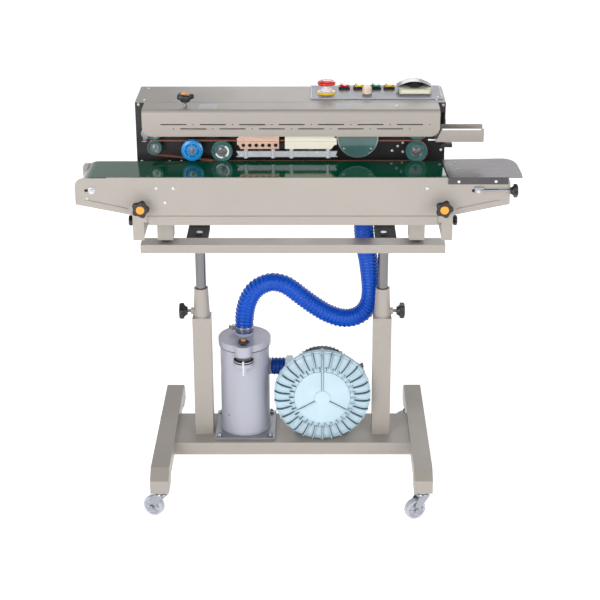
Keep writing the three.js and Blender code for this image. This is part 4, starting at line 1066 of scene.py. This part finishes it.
# The zinc screw heads on the top are drawn in white enamel: painted highlight.
top_screws = Shape()
pan_screw(top_screws, "+z", (237, -31, BOX_TOP), 4.2, 2.8)
for x in (-330, 330):
    for y in (20, 118):
        pan_screw(top_screws, "+z", (x, y, BOX_TOP), 2.8, 1.7)
for x in (60, 334):
    for y in (31, 127):
        pan_screw(top_screws, "+z", (x, y, CONSOLE_TOP), 2.2, 1.3)
top_screws.make("top_screws", WHITE, "head", 0.1, slot="zinc")
rear_screws = Shape()
for x in (-335, -110, 110, 335):
    for z in (842, 965):
        pan_screw(rear_screws, "+y", (x, BOX_BACK, z), 3.2, 2.0)
for side in (-1, 1):
    for y in (20, 118):
        for z in (842, 965):
            pan_screw(rear_screws, "+x" if side > 0 else "-x", (side * BOX_HALF, y, z), 3.2, 2.0)
rear_screws.make("box_side_screws", ZINC, "head", 0.1)
(Shape().box(282, 332, BOX_BACK, BOX_BACK + 2.4, 850, 880)
 .box(290, 324, BOX_BACK, BOX_BACK + 3.6, 855, 876)
 .make("mains_inlet_frame", BLACK_PLASTIC, "head", 0.6))
# The well of the black inlet in near-black, darker than its frame: black plastic with painted shade in the recess.
(Shape().box(293, 321, BOX_BACK + 3.5, BOX_BACK + 3.8, 857.5, 873.5)
 .make("mains_inlet_well_painted_shade", BLACK_AND_PAINTED_SHADE, "head", 0.1, slot="black_plastic"))
contacts = Shape()
for x, z in ((300, 863), (307, 868), (314, 863)):
    contacts.box(x - 0.9, x + 0.9, BOX_BACK + 3.6, BOX_BACK + 4.4, z - 2.6, z + 2.6)
contacts.make("mains_inlet_contacts", STEEL, "head", 0.2)
(Shape().lathe([(22.1, 815.8), (26, 815.8), (26.8, 817), (26.8, 826.4), (22.1, 826.4)], moved(170, 60, 0),
               48)
 .make("hose_collar", BLACK_PLASTIC, "head", 0.4))
dress("gear_motor", CAST_ALLOY, 0.8)

# ------------------------ control console
STOP = (81.5, 67)
ROCKER_Y = 110
ROCKERS = (("rocker_1", 123.2, RED), ("rocker_2", 156.5, YELLOW), ("rocker_3", 195.5, GREEN),
           ("rocker_4", 226.3, YELLOW))


def console_part(c, n):
    """0 plate, 1 black bezel, 2 yellow stop collar, 3 white sleeve."""
    if c.z < CONSOLE_TOP + 0.05:
        return 0
    reach = hypot(c.x - STOP[0], c.y - STOP[1])
    if reach < 11.6 and c.z > CONSOLE_TOP + 4.1:
        return 3
    return 2 if reach < 24 else 1


dress("console", CONSOLE_PLATE, 0.4, console_part, (BLACK_PLASTIC, YELLOW, WHITE))
for node, x, material in ROCKERS:
    paddle = [(-8.6, 1), (-8.8, 5), (-9.2, 10.2), (-8.4, 10.8), (-4, 8.6), (0, 7.6), (4, 8.0), (8.4, 9.4),
              (9.2, 8.8), (8.8, 5), (8.6, 1)]
    (Shape().prism("y", [(x + u, CONSOLE_TOP + w) for u, w in paddle], ROCKER_Y - 6.6, ROCKER_Y + 6.6)
     .make(node + "_paddle", material, node, 0.6, (node,), 50.0, slot="red_plastic"))
stop = Shape()
STOP_FOOT = CONSOLE_TOP - 0.9
stop_place = moved(*STOP, STOP_FOOT + 10.2)
stop.lathe([(0, 10.2), (15.5, 10.2), (19.4, 11.0), (20.8, 12.6), (21, 14.4), (20.2, 16.6), (18.2, 18.4),
            (15.6, 19.6), (14.6, 19.2), (13.4, 19.2), (12.4, 20.2), (8, 20.9), (0, 21)], stop_place, 72)
stop.make("stop_mushroom", RED, "emergency_stop", 0.15, ("emergency_stop",), 45.0)
arrows = Shape()
for k in range(3):
    arrows.prism("z", arc_band(14.0, 15.0, 10, 8, 8), 18.9, 19.7, stop_place @ turned(k / 3))
arrows.make("stop_turn_marks", WHITE, "emergency_stop", 0, slot="red_plastic")
(Shape().solid([(7, 5.5), (7, 17.4), (8.4, 18.2), (8.4, 20.6)], moved(*STOP, STOP_FOOT), 40)
 .make("stop_stem", WHITE, "emergency_stop", 0.2, slot="red_plastic"))
collar_place = moved(*STOP, CONSOLE_TOP)
collar_ring = Shape()
collar_ring.lathe([(11.2, 3.9), (17.5, 3.9), (17.5, 4.7), (16.8, 5.2), (12, 5.2), (11.2, 4.7)],
                  collar_place, 48)
for k in range(20):
    collar_ring.box(10.7, 11.7, -0.6, 0.6, 5.2, 11.2, collar_place @ turned(k / 20))
collar_ring.make("stop_lock_ring", WHITE, "head", 0.2, slot="ivory_plastic")

speed_place = moved(174.4, 64, CONSOLE_TOP)
grip = Shape().solid([(11.3, 0.4), (11.3, 2.2), (10.4, 3), (9.6, 14.6), (9.0, 16.4), (7.6, 17)],
                     speed_place, 64)
for k in range(24):
    grip.box(9.4, 10.7, -0.5, 0.5, 3, 14, speed_place @ turned(k / 24))
grip.box(-1.0, 1.0, -11.2, -2, 2.4, 17.6, speed_place)
grip.make("speed_dial", IVORY, "speed_knob", 0.2, ("speed_knob",), 40.0)
dial_marks = Shape()
for k in range(11):
    dial_marks.box(13.2, 15.6, -0.35, 0.35, 0, 0.12, speed_place @ turned((-60 + 30 * k) / 360))
dial_marks.make("speed_scale_marks", WHITE, "head", 0, slot="console_grey")

low, high = CONSOLE_TOP + 0.3, CONSOLE_TOP + 12.3
(Shape().box(247.5, 319, 53, 112, low, high)
 .make("controller_body", INSTRUMENT, "head", 1.4, ("temperature_controller",)))
(Shape().box(252, 314.5, 51.9, 53.4, low + 2.4, high - 2.2)
 .make("controller_face_window", plastic("controller_window", linear(236, 234, 214), 0.3, 0.3), "head", 0.3,
       slot="instrument_grey"))
arch = [(243 + 80 * t, high - 1.3 + 27 * 2 * t * (1 - t)) for t in [i / 24 for i in range(25)]]
inner = [(x, z - 1.6) for x, z in arch[1:-1]]
Shape().prism("y", arch + inner[::-1], 76, 108).make("controller_clear_hood", SMOKED, "head", 0.3)
(Shape().prism("y", arch, 106.5, 108)
 .make("controller_hood_back", BLACK_AND_PAINTED_SHADE, "head", 0.3, slot="instrument_grey"))
(Shape().box(268, 298, 80, 104, high, high + 9)
 .box(273, 293, 66, 82, high, high + 7.4)
 .solid([(7, 0), (6, 3.4)], moved(283, 74, high + 7), 32)
 .make("controller_setting_block", BLACK_AND_PAINTED_SHADE, "head", 0.8, slot="instrument_grey"))

# ------------------------ band wheels, bands and blocks
SEAL_Z = 895.3
WHEELS = (("infeed_wheel_lower", -305.6, 878.5, 15.9), ("guide_wheel_lower", -154.3, 870.2, 24.2),
          ("drive_wheel_lower", 283.7, 870.2, 24.2), ("infeed_wheel_upper", -305.6, 912.1, 15.9),
          ("drive_wheel_upper", 283.7, 920.4, 24.2))
for node, x, z, r in WHEELS:
    place = at_axis("-y", (x, -15, z))
    (Shape().lathe([(r * 0.62, 0), (r - 0.6, 0), (r, 0.8), (r, 14.2), (r - 0.6, 15), (r * 0.93, 15.2),
                    (r * 0.9, 13.6), (r * 0.72, 13.2), (r * 0.69, 14.6), (r * 0.62, 14.6)], place, 72)
     .make(node + "_tread", TEAL, node, 0.15, (node,), 40.0))
    hub = Shape().solid([(r * 0.64, 0.5), (r * 0.64, 12.6), (r * 0.52, 12.6), (r * 0.48, 11.2),
                         (r * 0.34, 11.2), (r * 0.31, 15.0)], place, 48)
    hub.rod("+y", (x, -16, z), 38, 5, 24)
    hex_bolt(hub, "-y", (x, -29.6, z), r * 0.34, 40 + x)
    hub.make(node + "_hub", STEEL, node, 0.2, angle=40.0)
    if node == "guide_wheel_lower":
        clip = Shape()
        for start, count in ((200, 9), (310, 12)):
            clip.prism("z", arc_band(12.2, 16.2, start, 10, count), 13.2, 15.2, place)
        clip.make("guide_wheel_retaining_ring", WHITE, node, 0.2, slot="zinc")
bx, bz = -220.6, 876
place = at_axis("-y", (bx, -32, bz))
(Shape().solid([(20, 0.4), (24, 1.6), (24, 3.2), (22.4, 4.4), (22.4, 7.2), (24, 8.4), (24, 10.2),
                (21.6, 11.8), (17.4, 12.2), (16.2, 10.8), (12.6, 10.6), (11.6, 12.0), (7.4, 12.2),
                (6.8, 11.4)], place, 72)
 .make("blue_wheel_rim", SKY, "blue_wheel", 0.15, ("blue_wheel",), 40.0))
# Darker blue rings in the rim's recess and ring grooves: painted shade.
grooves = Shape()
for inner, outer, face_at in ((12.8, 16.0, 11.1), (8.4, 9.2, 12.5), (20.2, 21.0, 12.5)):
    grooves.lathe([(inner, 10), (outer, 10), (outer, face_at), (inner, face_at)], place, 64)
grooves.make("blue_wheel_painted_groove_shade", SKY_PAINTED_SHADE, "blue_wheel", 0)
blue_hub = Shape()
blue_hub.rod("+y", (bx, -34, bz), 56, 5, 24)
hex_bolt(blue_hub, "-y", (bx, -43.4, bz), 8.5, 20)
for x, z in arc(14.4, degrees(0.4), 72, 5, bx, bz):
    pan_screw(blue_hub, "-y", (x, -42.6, z), 1.5, 0.9)
blue_hub.make("blue_wheel_bolt", STEEL, "blue_wheel", 0.15)
dress("band_lower", BAND, 0)
dress("band_upper", BAND, 0)

NIP_X, NIP_Z = 151, 904
cover_rim = Shape().prism("y", arc_band(46.2, 43.6, 150, 240 / 36, 37, NIP_X, NIP_Z), -37, -32.6)
for dx in (-30, 30):
    pan_screw(cover_rim, "-y", (NIP_X + dx, -36, 878.5), 3.4, 1.8)
cover_rim.make("nip_cover_rim", STEEL, "head", 0.25)

top, bottom = SEAL_Z - 2, SEAL_Z + 2
BLOCK_LOW, BLOCK_HIGH = 877.2, 914
BLOCK_FRONT, BLOCK_BACK = -34, -12
HOLE_PITCH = 14.5
(Shape().prism("y", [(-112, BLOCK_LOW), (-25.4, BLOCK_LOW), (-25.4, top), (-120.3, top)], BLOCK_FRONT,
               BLOCK_BACK)
 .make("heating_block_lower", COPPER, "head", 0.5, ("lower_blocks",)))
# Near-black discs in the heater's holes and a near-black block in the gap between heater and cooler: painted shade.
holes, hole_rims = Shape(), Shape()
for i in range(6):
    x = -105.6 + HOLE_PITCH * i
    holes.solid([(4.3, -0.9), (4.3, 0.6)], at_axis("+y", (x, BLOCK_FRONT - 0.3, 886.5)), 28)
    hole_rims.lathe([(4.3, 0), (5.1, 0), (4.9, 1.3), (4.3, 1.3)], at_axis("-y", (x, BLOCK_FRONT, 886.5)),
                    28)
holes.box(-25.4, -12.4, -32, BLOCK_BACK, BLOCK_LOW, top - 2)
holes.make("heating_block_painted_hole_shade", BLACK_AND_PAINTED_SHADE, "head", 0.15)
hole_rims.make("heating_block_hole_rims", COPPER, "head", 0)
for name, material, left, right, slant in (("heater", COPPER, -112, -25.4, -8), ("cooler", CREAM, 92, -12.4,
        12)):
    lip = Shape()
    for z0, z1 in ((top - 6, SEAL_Z - 0.2), (SEAL_Z + 0.2, bottom + 6)):
        lip.box(min(left + slant, right), max(left + slant, right), -34.8, -33.6, z0, z1)
    lip.make(name + "_front_lips", material, "head", 0.15)
(Shape().prism("y", [(-12.4, BLOCK_LOW), (92, BLOCK_LOW), (104.5, top), (-12.4, top)], BLOCK_FRONT,
               BLOCK_BACK)
 .make("cooling_block_lower", CREAM, "head", 0.5))
# The rail takes the light polished colour: painted highlight.
rail = Shape().prism("y", [(-116, 858.6), (101, 858.6), (105.8, 870.8), (-121.8, 870.8)], -30, -24)
rail.box(-121.8, 105.8, -31, -23.4, 857.4, 859.4)
for x in (-70, 45):
    rail.box(x - 5, x + 5, -25, -0.3, 860, 869)
rail.make("block_rail", BRIGHT_PAINTED_HIGHLIGHT, "head", 0.5)
# The chrome posts take the light polished colour, which stands for their bright reflections: painted highlight.
posts = Shape()
for x in (-100.3, -39, 2.2, 84.8):
    posts.solid([(5.2, 855.6), (5.2, 858.4), (3.9, 858.8), (3.9, 871), (4.8, 871.4), (4.8, 876.8)],
                moved(x, -29.5, 0), 28)
posts.make("block_spring_posts", BRIGHT_PAINTED_HIGHLIGHT, "head", 0.2, slot="chrome")
(Shape().prism("y", [(-112, BLOCK_HIGH), (-25.4, BLOCK_HIGH), (-25.4, bottom), (-120.3, bottom)],
               BLOCK_FRONT, BLOCK_BACK)
 .make("heating_block_upper", COPPER, "head", 0.5, ("upper_blocks",)))
(Shape().prism("y", [(-12.4, BLOCK_HIGH), (92, BLOCK_HIGH), (104.5, bottom), (-12.4, bottom)], BLOCK_FRONT,
               BLOCK_BACK)
 .box(-60, 40, -30, -14, 912, 926)
 .box(-10, 10, -15, -0.3, 910, 924)
 .make("cooling_block_upper", CREAM, "head", 0.5))
dress("exit_guide", BEIGE, 0.5, lambda c, n: 1 if c.z < 894 else 0, (BLACK_PLASTIC,))
# Thin white strips along two edges of the beige exit guide: painted highlights where the edges catch the light.
(Shape().box(308, 352, -46, -44.6, 900.6, 904.2)
 .box(338, 424, -59, -57.9, 928.8, 932)
 .make("exit_guide_painted_highlight_strips", WHITE, "head", 0.3, slot="beige_paint"))

# ------------------------ conveyor
PANEL_Y = -155
dress("conveyor_panel", BEIGE, 0.5)
dress("conveyor_frame", BEIGE, 0.5)
dress("conveyor_belt", BELT, 0)
dress("idle_roller", NYLON, 0.5)
dress("drive_roller", STEEL, 0.5)
dress("tray", BRUSHED, 0.7)
# The screw heads take the light polished colour: painted highlight.
panel_screws = Shape()
for x, z, r in ((-292, 824.8, 3.6), (-254.7, 824.8, 3.6), (-273.8, 792.4, 3.6), (-444, 801.7, 2.6),
                (300, 824.8, 3.6)):
    pan_screw(panel_screws, "-y", (x, PANEL_Y, z), r, 1.7)
for x, z in ((369, 841), (449.8, 841.7)):
    panel_screws.lathe([(0, 0), (3.4, 0), (3.0, 1.0), (1.6, 1.6), (0, 1.7)], at_axis("-y",
            (x, PANEL_Y - 2.2, z)), 24)
pan_screw(panel_screws, "+z", (369.5, -99.8, 851.3), 3.4, 1.5)
pan_screw(panel_screws, "+z", (369.5, -52, 851.3), 3.4, 1.5)
for x in (-433.6, 412.8):
    hex_bolt(panel_screws, "-y", (x, PANEL_Y, 820), 9, 15)
panel_screws.make("panel_screws", BRIGHT_PAINTED_HIGHLIGHT, "conveyor", 0.15)
ribs = Shape()
for (xa, za), (xb, zb) in (((-450, 797), (-352, 775.5)), ((364, 775.5), (462, 797))):
    along = (Vector((xb, 0, zb)) - Vector((xa, 0, za))).normalized()
    up = Vector((-along.z, 0, along.x))
    count = 24
    rings = []
    for k in range(count + 1):
        t = k / count
        taper = sqrt(max(0.0, 1 - (2 * t - 1) ** 8))
        p = Vector((xa, PANEL_Y + 0.2, za)).lerp(Vector((xb, PANEL_Y + 0.2, zb)), t)
        rings.append([p + (up * u + Vector((0, -1, 0)) * v * (2.4 / 3.2)) * (taper + 0.02)
                      for u, v in arc(3.2, 0, 360 / 14, 14)])
    ribs.layers(rings)
ribs.make("panel_pressed_ribs", BEIGE, "conveyor", 0, angle=60.0)
# Near-black plates behind the panel's slots: painted shade in the openings.
(Shape().box(398, 458, PANEL_Y + 1.8, PANEL_Y + 3.0, 814, 826)
 .box(-450, -428, PANEL_Y + 1.8, PANEL_Y + 3.0, 814, 826)
 .make("panel_slot_painted_shade", BLACK_AND_PAINTED_SHADE, "conveyor", 0.2))
(Shape().box(404, 424, PANEL_Y - 3.6, PANEL_Y, 813.5, 828.5)
 .rod("+x", (424, PANEL_Y - 2.2, 821), 36, 1.6, 16)
 .make("belt_take_up_block", ZINC, "conveyor", 0.5))

# ------------------------ floor and studio light
floor_mesh = bpy.data.meshes.new("floor")
floor_mesh.from_pydata([(-12, -12, 0), (12, -12, 0), (12, 12, 0), (-12, 12, 0)], [], [(0, 1, 2, 3)])
floor = bpy.data.objects.new("floor", floor_mesh)
bpy.context.scene.collection.objects.link(floor)
floor_look = Look("pale_floor", (0.9, 0.9, 0.9, 1), 0.9).tint(0.005, 0.5)
floor_look.shader.inputs["Emission Color"].default_value = (1, 1, 1, 1)
floor_look.shader.inputs["Emission Strength"].default_value = 0.66
floor_mesh.materials.append(floor_look.done())
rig.stage(floor)

world = bpy.data.worlds.new("studio")
world.use_nodes = True
background = world.node_tree.nodes["Background"]
background.inputs["Color"].default_value = (1, 1, 1, 1)
# White all round the horizon, dimmer overhead, so upward faces are darker than upright ones.
sky = world.node_tree.nodes.new("ShaderNodeTexCoord")
sky_axes = world.node_tree.nodes.new("ShaderNodeSeparateXYZ")
sky_dimmer = world.node_tree.nodes.new("ShaderNodeMapRange")
for socket, number in (("From Min", 0.05), ("From Max", 0.75), ("To Min", 1.0), ("To Max", 0.25)):
    sky_dimmer.inputs[socket].default_value = number
world.node_tree.links.new(sky.outputs["Generated"], sky_axes.inputs["Vector"])
world.node_tree.links.new(sky_axes.outputs["Z"], sky_dimmer.inputs["Value"])
world.node_tree.links.new(sky_dimmer.outputs["Result"], background.inputs["Strength"])
bpy.context.scene.world = world
bpy.context.scene.view_settings.view_transform = "Standard"
for name, place, power, size in (("key", (-1.6, -2.9, 1.7), 56, 1.6), ("fill", (2.2, -2.4, 1.3), 28, 1.8),
                                 ("back", (0.4, 2.4, 2.4), 20, 1.8)):
    data = bpy.data.lights.new(name, "AREA")
    data.energy = power
    data.size = size
    lamp = bpy.data.objects.new(name, data)
    lamp.location = place
    lamp.rotation_euler = (Vector((0, 0, 0.85)) - Vector(place)).to_track_quat("-Z", "Y").to_euler()
    bpy.context.scene.collection.objects.link(lamp)

with open("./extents.json", "w") as out:
    json.dump({"cad": [list(c) for c in CAD_BOX], "visual": [list(c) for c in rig.bounds()]}, out)
